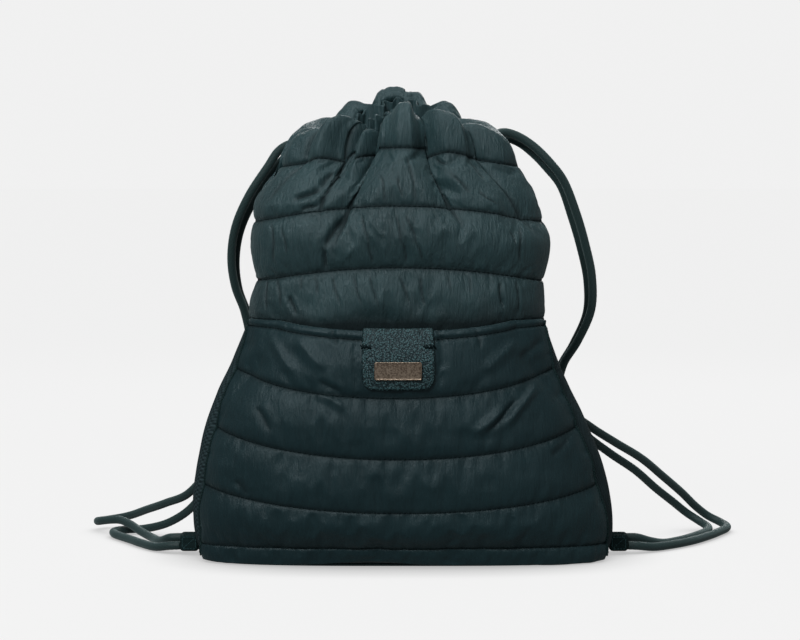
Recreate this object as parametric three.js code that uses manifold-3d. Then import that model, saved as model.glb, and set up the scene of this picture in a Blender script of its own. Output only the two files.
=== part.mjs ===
// Quilted drawstring backpack: a padded bag with a gathered neck, a quilted front pocket,
// knitted side gussets, a leather tab with a bare metal plate and two pairs of carrying cords.
// Millimetres, +Z up, front towards -Y, standing on its base at z = 0.
import * as THREE from 'three'
import Module from 'manifold-3d'
import { mergeVertices } from 'three/addons/utils/BufferGeometryUtils.js'

const wasm = await Module()
wasm.setup()

// Driving dimensions in millimetres
const bodyWidth = 362
const bodyHeight = 412
const bodyDepth = 130
const clothWall = 2.4
const quiltPuff = 5.5
const pleatDepth = 13
const gap = 0.3
const pocketHeight = 212
const pocketRoom = 18
const wallInset = 1
const mouthSag = 8
const mouthTuck = 14
const gussetPuff = 3
const backPuff = 3.2
const crestFrontDrop = 12
const crestSideDrop = 28
const collarWall = 3.4
const collarRuffle = 3
const collarDip = 14
const collarBelow = 6
const collarPleats = 14
const foldDrop = 0.6
const tabWidth = 60
const tabHeight = 50
const tabWall = 2
const tabCorner = 10
const tabInside = 9
const tabCentre = -3.4
const tabClear = 0.5
const plateWidth = 41
const plateHeight = 16
const plateThick = 1.6
const plateBorder = 1.3
const plateRecess = 0.6
const plateCorner = 1.8
const plateRise = 8
const anchorLength = 15
const anchorDepth = 20
const anchorHeight = 15
const anchorPlace = 0.62
const anchorFoot = 3
const anchorSink = 0.7
const baseSides = 48
const frontColumns = 36
const backColumns = 20
const cordDiameter = 7.6

// The bag stands centred front to back: half of what the pocket adds in front goes behind.
const centreY = (pocketRoom + clothWall + quiltPuff - backPuff) / 2

// Plan sections of the bag at its seams. at: share of bodyHeight. half: share of half bodyWidth.
// lean: sideways shift, share of bodyWidth. front, back: shares of bodyDepth. power: squareness.
const bodySections = [
  { at: 0, half: 0.965, lean: 0.005, front: 0.46, back: 0.46, power: 3.3 },
  { at: 0.04, half: 1, lean: 0.005, front: 0.48, back: 0.475, power: 3.2 },
  { at: 0.1, half: 1.006, lean: 0.001, front: 0.495, back: 0.48, power: 3.1 },
  { at: 0.16, half: 0.992, lean: -0.003, front: 0.5, back: 0.485, power: 3 },
  { at: 0.225, half: 0.956, lean: -0.008, front: 0.5, back: 0.485, power: 3 },
  { at: 0.295, half: 0.904, lean: -0.014, front: 0.495, back: 0.48, power: 3 },
  { at: 0.36, half: 0.841, lean: -0.018, front: 0.485, back: 0.475, power: 3 },
  { at: 0.43, half: 0.769, lean: -0.016, front: 0.472, back: 0.465, power: 2.9 },
  { at: 0.5, half: 0.714, lean: -0.014, front: 0.457, back: 0.455, power: 2.8 },
  { at: 0.55, half: 0.69, lean: -0.012, front: 0.455, back: 0.45, power: 2.7 },
  { at: 0.6, half: 0.687, lean: -0.006, front: 0.46, back: 0.455, power: 2.6 },
  { at: 0.68, half: 0.708, lean: -0.004, front: 0.49, back: 0.48, power: 2.5 },
  { at: 0.72, half: 0.694, lean: -0.008, front: 0.485, back: 0.475, power: 2.4 },
  { at: 0.756, half: 0.673, lean: -0.013, front: 0.475, back: 0.46, power: 2.4 },
  { at: 0.79, half: 0.637, lean: -0.012, front: 0.455, back: 0.44, power: 2.3 },
  { at: 0.825, half: 0.59, lean: -0.01, front: 0.42, back: 0.41, power: 2.2 },
  { at: 0.88, half: 0.515, lean: -0.004, front: 0.365, back: 0.36, power: 2.2 },
]

// Cross seams of the upper body. side, front, back: heights at the side seams and at the
// middle of each panel, shares of the height above the pocket.
const upperSeams = [
  { side: 0.165, front: 0.23, back: 0.2 },
  { side: 0.425, front: 0.495, back: 0.47 },
  { side: 0.665, front: 0.745, back: 0.72 },
]

// The gathered row above the last seam. at: share of the row. inward: share of the section
// left. rise: share of the height from the seam to the crest of the folds.
const neckProfile = [
  { at: 0, inward: 1, rise: 0 },
  { at: 0.25, inward: 0.955, rise: 0.42 },
  { at: 0.5, inward: 0.88, rise: 0.8 },
  { at: 0.7, inward: 0.78, rise: 0.98 },
  { at: 0.82, inward: 0.7, rise: 1 },
  { at: 0.92, inward: 0.63, rise: 0.93 },
  { at: 1, inward: 0.6, rise: 0.82 },
]

// Folds gathered into the neck. top, foot: places across the panel at the neck and where the
// fold runs out. down: height of that foot, share of bodyHeight. deep: share of pleatDepth.
// reach: half width, share of the half panel.
const frontPleats = [
  { top: -0.9, foot: -0.94, down: 0.78, deep: 0.5, reach: 0.15 },
  { top: -0.58, foot: -0.55, down: 0.74, deep: 1, reach: 0.17 },
  { top: -0.2, foot: -0.5, down: 0.66, deep: 1.15, reach: 0.2 },
  { top: 0.27, foot: 0.46, down: 0.72, deep: 1.15, reach: 0.2 },
  { top: 0.78, foot: 0.95, down: 0.7, deep: 0.8, reach: 0.18 },
]
const backPleats = [
  { top: -0.8, foot: -0.86, down: 0.74, deep: 0.8, reach: 0.18 },
  { top: -0.4, foot: -0.48, down: 0.72, deep: 1, reach: 0.2 },
  { top: 0.04, foot: 0.06, down: 0.7, deep: 0.9, reach: 0.2 },
  { top: 0.42, foot: 0.5, down: 0.72, deep: 1, reach: 0.2 },
  { top: 0.8, foot: 0.88, down: 0.74, deep: 0.8, reach: 0.18 },
]

// Cross seams of the pocket. side: height at its side edges, share of pocketHeight.
// sag: drop in the middle, share of pocketHeight. The mouth edge follows mouthSag instead.
const pocketSeams = [
  { side: 0.078, sag: 0 },
  { side: 0.325, sag: 0.094 },
  { side: 0.562, sag: 0.113 },
  { side: 0.8, sag: 0.105 },
]

// Sewn edges of the lower body. at: share of pocketHeight. front, back: place of the gusset's
// two seams across the bag, shares of its half width.
const gussetSeams = [
  { at: 0, front: 0.965, back: 0.9 },
  { at: 0.15, front: 0.95, back: 0.9 },
  { at: 0.4, front: 0.93, back: 0.9 },
  { at: 0.75, front: 0.94, back: 0.9 },
  { at: 1, front: 0.97, back: 0.9 },
]
const mouthReach = 0.8

// Cord routes from the gathered neck down to the anchors at the lower corners
const cordRoutes = {
  cord_left_outer: [
    [-95.1, 33.3, 364.2], [-101.5, 37.2, 363.6], [-110.5, 40.5, 357.5], [-119, 42, 345], [-137, 47, 318],
    [-149.5, 56, 290], [-153.8, 65, 262], [-151, 74, 236], [-143, 83, 212], [-138.5, 89, 183],
    [-143, 94, 148], [-157, 97, 108], [-175, 100, 70], [-197, 110, 43], [-220, 132, 31],
    [-241, 159, 21], [-257, 178, 13.4], [-267.5, 186, 10], [-280, 185.5, 8], [-288, 174, 8.3],
    [-285, 159, 10.3], [-274, 147, 13], [-263.5, 137.5, 14.2], [-254, 126, 12.5],
    [-241, 106, 8], [-228, 80, 6], [-217, 48, 8], [-207.3, 33.2, 12.8], [-196.8, 31.4, 13.5],
  ],
  cord_left_inner: [
    [-85.6, 41, 361.9], [-91.5, 47.6, 361.8], [-100.5, 53.2, 356.3], [-112, 54, 344.5], [-132, 60, 316],
    [-146, 70, 287], [-151, 80, 259], [-149, 89, 233], [-141.5, 98, 209], [-138, 104, 180],
    [-143, 109, 145], [-156, 112, 104], [-173, 112, 62], [-193, 113, 31], [-216, 125, 14],
    [-241.5, 141, 5.5], [-253, 144, 4.6], [-263.5, 139.5, 4.4], [-268.5, 128.5, 4.4], [-266, 114, 4.4],
    [-258, 98, 4.4], [-248, 80, 4.4], [-236, 57, 4.4], [-220, 33, 4.6], [-207.5, 23.5, 6.9],
    [-197.7, 21.9, 7.5],
  ],
  cord_right_outer: [
    [84.3, 32.9, 373.4], [91, 37, 374.8], [103, 40.2, 371.3], [117.5, 41, 362], [133, 41, 346.5],
    [144, 45, 332], [156, 52, 303], [165, 60, 274], [171.5, 68, 245], [171.5, 75, 215],
    [160, 83, 186], [147, 90, 163], [144, 95, 138], [155, 98, 120], [174, 101, 105],
    [197, 109, 90], [222, 123, 74], [244, 142, 55], [264, 161, 37], [279, 174, 22],
    [291, 179.5, 12.5], [301.5, 175.8, 7.4], [307, 165, 4.9], [304.5, 150, 4.4], [297, 132, 4.4],
    [284, 105, 4.4], [265, 73, 4.4], [244, 48, 4.4], [225, 31, 4.8], [211, 23.2, 6.9],
    [201.2, 21.9, 7.5],
  ],
  cord_right_inner: [
    [73.9, 41.7, 370.2], [79.6, 48.2, 371.8], [90.5, 53, 371], [105, 53, 365.5], [118, 54, 355.5],
    [130, 55, 343], [142, 58, 328], [153, 66, 299], [162, 74, 270], [168.5, 82, 241],
    [168.5, 89, 211], [157, 97, 182], [145, 103, 159], [143, 108, 135], [153, 110, 115],
    [171, 112, 96], [193, 117, 79], [217, 130, 62], [238, 147, 43], [256, 162, 28],
    [270, 169, 16.5], [281, 166, 9.5], [288, 156, 5.5], [287, 142, 4.4], [281, 124, 4.4],
    [268, 98, 4.4], [252, 73, 4.4], [236, 54, 5], [222, 39, 9], [210, 32.9, 13],
    [200.3, 31.4, 13.5],
  ],
}
const cordSides = 8
const cordSteps = 20

const green = 0x12282a
const materials = {
  quilt: new THREE.MeshStandardMaterial({ color: green, roughness: 0.42, metalness: 0 }),
  knit: new THREE.MeshStandardMaterial({ color: 0x1b2c2b, roughness: 0.85, metalness: 0 }),
  lining: new THREE.MeshStandardMaterial({ color: 0x10201f, roughness: 0.7, metalness: 0 }),
  leather: new THREE.MeshStandardMaterial({ color: 0x14302e, roughness: 0.55, metalness: 0 }),
  plate: new THREE.MeshStandardMaterial({ color: 0x4b433c, roughness: 0.38, metalness: 1 }),
  cord: new THREE.MeshStandardMaterial({ color: 0x0c2422, roughness: 0.7, metalness: 0 }),
}

const clamp01 = (value) => Math.min(1, Math.max(0, value))
const smooth = (value) => clamp01(value) ** 2 * (3 - 2 * clamp01(value))
const mix = (a, b, share) => a + (b - a) * share

// Value of one column of a table at a given place, along a smooth curve through its rows
function read(rows, column, at) {
  const place = Math.min(rows[rows.length - 1].at, Math.max(rows[0].at, at))
  let i = 0
  while (i < rows.length - 2 && place > rows[i + 1].at) i += 1
  const slope = (k) => {
    const before = rows[Math.max(0, k - 1)]
    const after = rows[Math.min(rows.length - 1, k + 1)]
    return (after[column] - before[column]) / (after.at - before.at)
  }
  const span = rows[i + 1].at - rows[i].at
  const t = (place - rows[i].at) / span
  const bend = t * (1 - t) * span
  return mix(rows[i][column], rows[i + 1][column], smooth(t)) +
    bend * ((1 - t) * slope(i) - t * slope(i + 1))
}

// Plan section of the bag at one height
function section(z) {
  const at = z / bodyHeight
  return {
    half: read(bodySections, 'half', at) * bodyWidth / 2,
    lean: read(bodySections, 'lean', at) * bodyWidth,
    front: read(bodySections, 'front', at) * bodyDepth,
    back: read(bodySections, 'back', at) * bodyDepth,
    power: read(bodySections, 'power', at),
  }
}

// Shares of the section's half sizes at a turn about the bag, 0 in front and growing to +X
function facing(turn, power) {
  const sine = Math.sin(turn)
  const cosine = Math.cos(turn)
  const scale = (Math.abs(sine) ** power + Math.abs(cosine) ** power) ** (-1 / power)
  return { across: sine * scale, along: -cosine * scale }
}

// Point of the bag's surface at a turn and height, pushed out by some millimetres
function bodyPoint(turn, z, out) {
  const plan = section(z)
  const { across, along } = facing(turn, plan.power)
  const deep = along < 0 ? plan.front : plan.back
  const x = plan.lean + (plan.half + out) * across
  return new THREE.Vector3(x, centreY + (deep + out) * along, z)
}

// Turn at which the section lies at a share of its half width, in front or behind
function turnAt(across, z, behind = false) {
  const { power } = section(z)
  const along = (1 - Math.abs(across) ** power) ** (1 / power)
  return Math.atan2(across, behind ? -along : along)
}

// Height of a padded row between two seams, 0 to 1
const pillow = (t) => Math.sin(Math.PI * clamp01(t)) ** 0.75

// Round folds that meet in sharp valleys: 1 in the valley, 0 on the fold's back
function valley(distance) {
  const near = 1 - Math.min(1, Math.abs(distance))
  return 1 - Math.sqrt(1 - near * near)
}

// Index strip between two lines of vertices with any number of points each
function zip(faces, lower, upper) {
  let i = 0
  let j = 0
  while (i < lower.length - 1 || j < upper.length - 1) {
    const nextLower = (i + 1) / (lower.length - 1)
    const nextUpper = (j + 1) / (upper.length - 1)
    if (j === upper.length - 1 || (i < lower.length - 1 && nextLower <= nextUpper)) {
      faces.push(lower[i], lower[i + 1], upper[j])
      i += 1
    } else {
      faces.push(lower[i], upper[j + 1], upper[j])
      j += 1
    }
  }
}

function volumeOf(points, faces) {
  let volume = 0
  for (let i = 0; i < faces.length; i += 3) {
    const [a, b, c] = [points[faces[i]], points[faces[i + 1]], points[faces[i + 2]]]
    volume += a.dot(b.clone().cross(c)) / 6
  }
  return volume
}

function geometryOf(points, faces) {
  const inward = volumeOf(points, faces) < 0
  const order = inward ? faces.slice().reverse() : faces
  const geometry = new THREE.BufferGeometry()
  const flat = points.flatMap((point) => [point.x, point.y, point.z])
  geometry.setAttribute('position', new THREE.Float32BufferAttribute(flat, 3))
  geometry.setIndex(order)
  return geometry
}

// A cloth wall between an outer and an inner sheet, both functions of the shares across and up.
// A ring closes on itself sideways and has no side edges.
function wall({ columns, outerRows, innerRows, outer, inner, ring = false }) {
  const points = []
  const faces = []
  const sheet = (rows, place) => {
    const lines = []
    for (let j = 0; j <= rows; j += 1) {
      const line = []
      for (let i = 0; i < columns + (ring ? 0 : 1); i += 1) {
        line.push(points.length)
        points.push(place(i / columns, j / rows))
      }
      if (ring) line.push(line[0])
      lines.push(line)
    }
    return lines
  }
  const outside = sheet(outerRows, outer)
  const inside = sheet(innerRows, inner)
  const edge = (lines, i) => lines.map((line) => line[i])
  for (let j = 0; j < outerRows; j += 1) zip(faces, outside[j], outside[j + 1])
  for (let j = 0; j < innerRows; j += 1) zip(faces, inside[j + 1], inside[j])
  zip(faces, inside[0], outside[0])
  zip(faces, outside[outerRows], inside[innerRows])
  if (!ring) {
    zip(faces, edge(outside, 0), edge(inside, 0))
    zip(faces, edge(inside, columns), edge(outside, columns))
  }
  return geometryOf(points, faces)
}

const bag = new THREE.Group()

function add(name, geometry, material, setBack = 0) {
  const mesh = new THREE.Mesh(geometry, material)
  mesh.name = name
  mesh.position.y = setBack
  bag.add(mesh)
  return mesh
}

const baseTop = clothWall
const lowerStart = baseTop + gap
const pocketShare = (z) => z / pocketHeight
const mouthShape = (across) => Math.max(0, 1 - (across / mouthReach) ** 2)

// Lower edge of the upper panels: at the pocket's seam, tucked down behind its mouth
function upperStart(across, front) {
  const behindMouth = front ? smooth((mouthReach - Math.abs(across)) / 0.3) : 0
  return pocketHeight + gap - mouthTuck * behindMouth
}

// Height of a cross seam of the upper body: 0 is the lower edge, 3 the last quilting seam
function upperSeam(index, across, front) {
  if (index === 0) return upperStart(across, front)
  const row = upperSeams[index - 1]
  const middle = front ? row.front : row.back
  const share = mix(row.side, middle, 1 - across * across)
  return pocketHeight + (bodyHeight - pocketHeight) * share
}

// Crest of the gathered folds, lowest at the sides and highest behind
function crestHeight(turn) {
  const drop = crestFrontDrop * (1 + Math.cos(turn)) / 2 + crestSideDrop * Math.sin(turn) ** 2
  return bodyHeight - drop
}

// Inward depth of the folds at a place on the upper body
function pleats(across, z, front) {
  const table = front ? frontPleats : backPleats
  let depth = 0
  for (const pleat of table) {
    const neck = upperSeam(3, pleat.top, front)
    const start = pleat.down * bodyHeight
    const share = (z - start) / (neck - start)
    const place = mix(pleat.foot, pleat.top, clamp01(share))
    depth += pleatDepth * pleat.deep * smooth(share) * valley((across - place) / pleat.reach)
  }
  return depth
}

// Point of an upper panel. up: 0 to 3 through the quilted rows, 3 to 4 through the neck row.
function upperPoint(front, turn, up, out) {
  const { across } = facing(turn, section(pocketHeight).power)
  const row = Math.min(2, Math.floor(up))
  const share = Math.min(3, up) - row
  const z = mix(upperSeam(row, across, front), upperSeam(row + 1, across, front), share)
  const fold = pleats(across, z, front)
  const foot = bodyPoint(turn, z, out - fold)
  if (up <= 3) return foot
  const { lean } = section(z)
  const inward = read(neckProfile, 'inward', up - 3)
  const rise = read(neckProfile, 'rise', up - 3)
  const crest = crestHeight(turn) - foldDrop * fold
  return new THREE.Vector3(
    lean + (foot.x - lean) * inward,
    centreY + (foot.y - centreY) * inward,
    z + (crest - z) * rise + Math.min(0, out) * rise,
  )
}

// Turn about the bag at a share of the way across the front or the back panel
function panelTurn(front, share) {
  return mix(-Math.PI / 2, Math.PI / 2, share) + (front ? 0 : Math.PI)
}

// Quilted upper panel, front or back, from the pocket's seam up over the gathered neck
function upperPanel(front) {
  const puff = (up) => (up < 3 ? quiltPuff * pillow(up % 1) : 0)
  return wall({
    columns: front ? frontColumns : backColumns,
    outerRows: 20,
    innerRows: 8,
    outer: (i, j) => upperPoint(front, panelTurn(front, i), 4 * j, puff(4 * j)),
    inner: (i, j) => upperPoint(front, panelTurn(front, i), 4 * j, -clothWall),
  })
}

// Ruffled collar that stands inside the gathered folds, round the open mouth. It has the
// panels' columns, so that it follows their folds.
function collar() {
  const columns = frontColumns + backColumns
  const seamShare = frontColumns / columns
  const place = (share, along, inset) => {
    const front = share <= seamShare
    const part = front ? share / seamShare : (share - seamShare) / (1 - seamShare)
    const turn = panelTurn(front, part)
    const neck = upperPoint(front, turn, 4, -clothWall)
    const { lean } = section(neck.z)
    const ruffle = collarRuffle * (1 - Math.cos(2 * Math.PI * share * collarPleats)) / 2
    const reach = Math.hypot(neck.x - lean, neck.y - centreY)
    const inward = (reach - gap - inset - ruffle) / reach
    const z = mix(neck.z - collarDip, crestHeight(turn) - collarBelow, along)
    return new THREE.Vector3(lean + (neck.x - lean) * inward, centreY + (neck.y - centreY) * inward, z)
  }
  return wall({
    columns,
    outerRows: 3,
    innerRows: 3,
    outer: (i, j) => place(i, j, 0),
    inner: (i, j) => place(i, j, collarWall),
    ring: true,
  })
}

// Place of the pocket across the bag: -1 and 1 are its side seams
function pocketAcross(v, z) {
  return v * read(gussetSeams, 'front', pocketShare(z))
}

function pocketSeam(index, v) {
  if (index === 0) return lowerStart
  if (index === 5) return pocketHeight - mouthSag * mouthShape(v)
  const { side, sag } = pocketSeams[index - 1]
  return pocketHeight * (side - sag * (1 - v * v))
}

// Room between the inner wall and the pocket, closed at the base and at the sewn edges
function roomAt(v, z) {
  const share = pocketShare(z)
  const reach = mix(1, mouthReach, smooth(share * 2 - 1))
  const across = Math.max(0, 1 - Math.abs(v / reach) ** 2.6)
  return gap + pocketRoom * across * smooth(share * 5) * (1 - 0.2 * share)
}

// Point of the pocket panel. up: 0 to 5 through its rows.
function pocketPoint(v, up, out) {
  const row = Math.min(4, Math.floor(up))
  const z = mix(pocketSeam(row, v), pocketSeam(row + 1, v), up - row)
  return bodyPoint(turnAt(pocketAcross(v, z), z), z, roomAt(v, z) + out)
}

const pocketPuff = (up) => quiltPuff * pillow(up % 1) * (up < 1 ? 0.5 : 1)

function frontPocket() {
  return wall({
    columns: 28,
    outerRows: 20,
    innerRows: 10,
    outer: (i, j) => pocketPoint(2 * i - 1, 5 * j, clothWall + pocketPuff(5 * j)),
    inner: (i, j) => pocketPoint(2 * i - 1, 5 * j, 0),
  })
}

// Plain wall of the main bag behind the pocket
function frontWall() {
  const place = (i, j, out) => {
    const v = 2 * i - 1
    const top = upperStart(pocketAcross(v, pocketHeight), true) - wallInset
    const z = mix(lowerStart, top, j)
    return bodyPoint(turnAt(pocketAcross(v, z), z), z, out)
  }
  return wall({
    columns: 18,
    outerRows: 10,
    innerRows: 10,
    outer: (i, j) => place(i, j, -wallInset),
    inner: (i, j) => place(i, j, -wallInset - clothWall),
  })
}

// Point of a side panel. across: 0 at the pocket's seam, 1 at the back panel's. side: -1 or 1.
function gussetPoint(side, across, z, out) {
  const share = pocketShare(z)
  const from = turnAt(read(gussetSeams, 'front', share), z)
  const to = turnAt(read(gussetSeams, 'back', share), z, true)
  return bodyPoint(side * mix(from, to, across), z, out)
}

const gussetSwell = (across, z) =>
  gussetPuff * pillow(across) * (1 - 0.5 * (2 * pocketShare(z) - 1) ** 4)

// Knitted side panel between the pocket's side seam and the back panel
function gusset(side) {
  const height = (j) => mix(lowerStart, pocketHeight, j)
  const swell = (i, j) => clothWall / 2 + gussetSwell(i, height(j))
  return wall({
    columns: 6,
    outerRows: 10,
    innerRows: 10,
    outer: (i, j) => gussetPoint(side, i, height(j), swell(i, j)),
    inner: (i, j) => gussetPoint(side, i, height(j), -clothWall),
  })
}

// Padded panel that lies against the back
function lowerBackPanel() {
  const place = (i, j, out) => {
    const z = mix(lowerStart, pocketHeight, j)
    const edge = read(gussetSeams, 'back', pocketShare(z))
    return bodyPoint(turnAt(edge * (1 - 2 * i), z, true), z, out)
  }
  const swell = (i, j) => backPuff * pillow(i) ** 0.5 * pillow(j) ** 0.5
  return wall({
    columns: 14,
    outerRows: 10,
    innerRows: 10,
    outer: (i, j) => place(i, j, clothWall / 2 + swell(i, j)),
    inner: (i, j) => place(i, j, -clothWall),
  })
}

// Flat base plate, whose underside is the face that the bag stands on
function basePanel() {
  const corners = []
  for (let i = 0; i < baseSides; i += 1) {
    const point = bodyPoint(2 * Math.PI * i / baseSides, 0, clothWall / 2)
    corners.push(new THREE.Vector2(point.x, point.y))
  }
  const outline = new THREE.Shape(corners)
  return new THREE.ExtrudeGeometry(outline, { depth: baseTop, bevelEnabled: false })
}

// The tab's profile: up the outside of the pocket, over its edge and a little way down inside.
// drop: distance below the pocket's edge. half: half width. side: 1 outside, -1 inside.
function tabProfile() {
  const half = tabWidth / 2
  const steps = []
  for (const share of [0, 0.1, 0.35, 0.65, 1]) {
    const cut = tabCorner - Math.sqrt(tabCorner ** 2 - (tabCorner * (1 - share)) ** 2)
    steps.push({ drop: tabHeight - tabCorner * share, half: half - cut, side: 1 })
  }
  for (const share of [0.75, 0.5, 0.3, 0.15, 0.05, 0]) {
    steps.push({ drop: (tabHeight - tabCorner) * share, half, side: 1 })
  }
  steps.push({ drop: 0, half, side: -1 })
  steps.push({ drop: tabInside, half, side: -1 })
  return steps
}

// Row of the pocket at a height, 0 to 5
function pocketRow(v, z) {
  let row = 0
  while (row < 4 && z > pocketSeam(row + 1, v)) row += 1
  return row + (z - pocketSeam(row, v)) / (pocketSeam(row + 1, v) - pocketSeam(row, v))
}

// Point beside the pocket's cloth under the tab, off it by some millimetres
function tabPoint(x, drop, side, off) {
  const place = (z) => {
    const { half, lean } = section(z)
    const reach = half + roomAt(0, z) + clothWall
    return (tabCentre + x - lean) / (reach * read(gussetSeams, 'front', pocketShare(z)))
  }
  const edge = pocketSeam(5, place(pocketHeight))
  const z = edge - drop
  const v = place(z)
  const up = pocketRow(v, z)
  const out = side > 0 ? clothWall + pocketPuff(up) + off : -off
  const point = bodyPoint(turnAt(pocketAcross(v, z), z), z, roomAt(v, z) + out)
  if (drop === 0) point.z += off
  return point
}

function leatherTab() {
  const steps = tabProfile()
  const rows = steps.length - 1
  const place = (i, j, off) => {
    const { drop, half, side } = steps[Math.round(j * rows)]
    return tabPoint(mix(-half, half, i), drop, side, off)
  }
  return wall({
    columns: 8,
    outerRows: rows,
    innerRows: rows,
    outer: (i, j) => place(i, j, tabClear + tabWall),
    inner: (i, j) => place(i, j, tabClear),
  })
}

function roundedRectangle(width, height, corner) {
  const shape = new THREE.Shape()
  const [x, y] = [width / 2, height / 2]
  shape.moveTo(-x + corner, -y)
  shape.lineTo(x - corner, -y)
  shape.absarc(x - corner, -y + corner, corner, -Math.PI / 2, 0)
  shape.lineTo(x, y - corner)
  shape.absarc(x - corner, y - corner, corner, 0, Math.PI / 2)
  shape.lineTo(-x + corner, y)
  shape.absarc(-x + corner, y - corner, corner, Math.PI / 2, Math.PI)
  shape.lineTo(-x, -y + corner)
  shape.absarc(-x + corner, -y + corner, corner, Math.PI, 1.5 * Math.PI)
  return shape
}

function extruded(shape, depth) {
  return new THREE.ExtrudeGeometry(shape, { depth, bevelEnabled: false, curveSegments: 2 })
}

function solidOf(geometry) {
  const bare = geometry.clone()
  bare.deleteAttribute('normal')
  bare.deleteAttribute('uv')
  const merged = mergeVertices(bare, 1e-4)
  const vertProperties = new Float32Array(merged.attributes.position.array)
  const triVerts = new Uint32Array(merged.index.array)
  return new wasm.Manifold(new wasm.Mesh({ numProp: 3, vertProperties, triVerts }))
}

function geometryFrom(solid) {
  const { vertProperties, triVerts } = solid.getMesh()
  const geometry = new THREE.BufferGeometry()
  geometry.setAttribute('position', new THREE.BufferAttribute(vertProperties, 3))
  geometry.setIndex(new THREE.BufferAttribute(triVerts, 1))
  return geometry
}

// Bare metal plate with a raised border
function plateGeometry() {
  const border = 2 * plateBorder
  const body = extruded(roundedRectangle(plateWidth, plateHeight, plateCorner), plateThick)
  const corner = plateCorner - plateBorder / 2
  const field = roundedRectangle(plateWidth - border, plateHeight - border, corner)
  const recess = extruded(field, plateThick)
  recess.translate(0, 0, plateThick - plateRecess)
  return geometryFrom(solidOf(body).subtract(solidOf(recess)))
}

// The plate lies on the tab, tilted as the tab is between the plate's edges
function namePlate() {
  const middle = tabHeight - plateRise - plateHeight / 2
  const face = (drop) => tabPoint(0, drop, 1, tabClear + tabWall)
  const low = face(middle + plateHeight / 2)
  const high = face(middle - plateHeight / 2)
  const mesh = add('name_plate', plateGeometry(), materials.plate)
  mesh.rotation.x = Math.atan2(high.z - low.z, high.y - low.y)
  const { y, z } = face(middle)
  mesh.position.set(tabCentre, y - 1.5 * gap, z)
}

// Cloth block on a gusset's lower corner, square to the gusset, where two cords end. It is set
// a little into the swell, which the gusset's flat facets don't quite reach.
function anchor(name, side) {
  const top = anchorFoot + anchorHeight
  const swell = clothWall / 2 + gussetSwell(anchorPlace, top)
  const at = gussetPoint(side, anchorPlace, top, swell)
  const near = gussetPoint(side, anchorPlace - 0.05, top, swell)
  const far = gussetPoint(side, anchorPlace + 0.05, top, swell)
  const outward = new THREE.Vector3(far.y - near.y, near.x - far.x, 0).normalize().multiplyScalar(side)
  const block = new THREE.BoxGeometry(anchorLength, anchorDepth, anchorHeight)
  const mesh = add(name, block, materials.knit)
  mesh.rotation.z = Math.atan2(outward.y, outward.x)
  mesh.position.copy(at.addScaledVector(outward, anchorLength / 2 - anchorSink))
  mesh.position.y += gap
  mesh.position.z = top - anchorHeight / 2
}

// Round cord along its route
function cord(name) {
  const route = cordRoutes[name].map(([x, y, z]) => new THREE.Vector3(x, y, z))
  const round = new THREE.Shape()
  round.absarc(0, 0, cordDiameter / 2, 0, 2 * Math.PI)
  const geometry = new THREE.ExtrudeGeometry(round, {
    steps: cordSteps,
    curveSegments: cordSides / 2,
    extrudePath: new THREE.CatmullRomCurve3(route),
  })
  add(name, geometry, materials.cord)
}

add('base_panel', basePanel(), materials.knit)
add('front_wall', frontWall(), materials.lining, -gap / 2)
add('front_pocket', frontPocket(), materials.quilt, -gap / 2)
add('gusset_left', gusset(-1), materials.knit, gap)
add('gusset_right', gusset(1), materials.knit, gap)
add('lower_back_panel', lowerBackPanel(), materials.knit, 2 * gap)
add('upper_front_panel', upperPanel(true), materials.quilt, -gap / 2)
add('upper_back_panel', upperPanel(false), materials.quilt, gap / 2)
add('drawstring_collar', collar(), materials.quilt)
add('leather_tab', leatherTab(), materials.leather, -gap / 2)
namePlate()
anchor('cord_anchor_left', -1)
anchor('cord_anchor_right', 1)
for (const name of Object.keys(cordRoutes)) cord(name)

export default bag
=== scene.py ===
"""Quilted drawstring backpack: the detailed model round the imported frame.

Shapes are worked out in millimetres and written in metres. The sizes are those of the
solids, apart from the plate's and the number of the collar's folds, which are closer to the
photograph here. Front towards -Y, +Z up, standing on the floor at z = 0.
"""
import math

import bpy
import numpy as np
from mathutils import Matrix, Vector


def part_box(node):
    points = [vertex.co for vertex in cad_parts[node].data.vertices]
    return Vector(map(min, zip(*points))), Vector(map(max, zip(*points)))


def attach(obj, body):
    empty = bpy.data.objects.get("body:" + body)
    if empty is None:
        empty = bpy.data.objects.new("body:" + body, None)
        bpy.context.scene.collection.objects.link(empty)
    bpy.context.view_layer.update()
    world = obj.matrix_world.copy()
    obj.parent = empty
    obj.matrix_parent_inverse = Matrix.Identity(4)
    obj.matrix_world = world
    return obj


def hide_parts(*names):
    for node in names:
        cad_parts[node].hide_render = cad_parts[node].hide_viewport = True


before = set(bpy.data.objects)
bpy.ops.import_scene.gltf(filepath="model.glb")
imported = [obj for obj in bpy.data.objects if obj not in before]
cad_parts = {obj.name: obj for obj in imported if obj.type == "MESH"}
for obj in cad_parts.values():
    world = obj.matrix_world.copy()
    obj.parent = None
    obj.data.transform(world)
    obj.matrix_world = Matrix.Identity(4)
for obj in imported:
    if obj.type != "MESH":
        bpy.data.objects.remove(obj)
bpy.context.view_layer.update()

MM = 0.001
BODY = "root"

# Sizes of the bag, millimetres
BODY_WIDTH, BODY_HEIGHT, BODY_DEPTH = 362, 412, 130
CLOTH_WALL, QUILT_PUFF, PLEAT_DEPTH, GAP = 2.4, 5.5, 13, 0.3
POCKET_HEIGHT, POCKET_ROOM, MOUTH_SAG, MOUTH_TUCK, MOUTH_REACH = 212, 18, 8, 14, 0.8
GUSSET_PUFF, BACK_PUFF = 3, 3.2
CREST_FRONT_DROP, CREST_SIDE_DROP, FOLD_DROP = 12, 28, 0.6
COLLAR_WALL, COLLAR_DIP, COLLAR_BELOW, COLLAR_RUFFLE, COLLAR_FOLDS = 3.4, 14, 6, 3, 34
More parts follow.
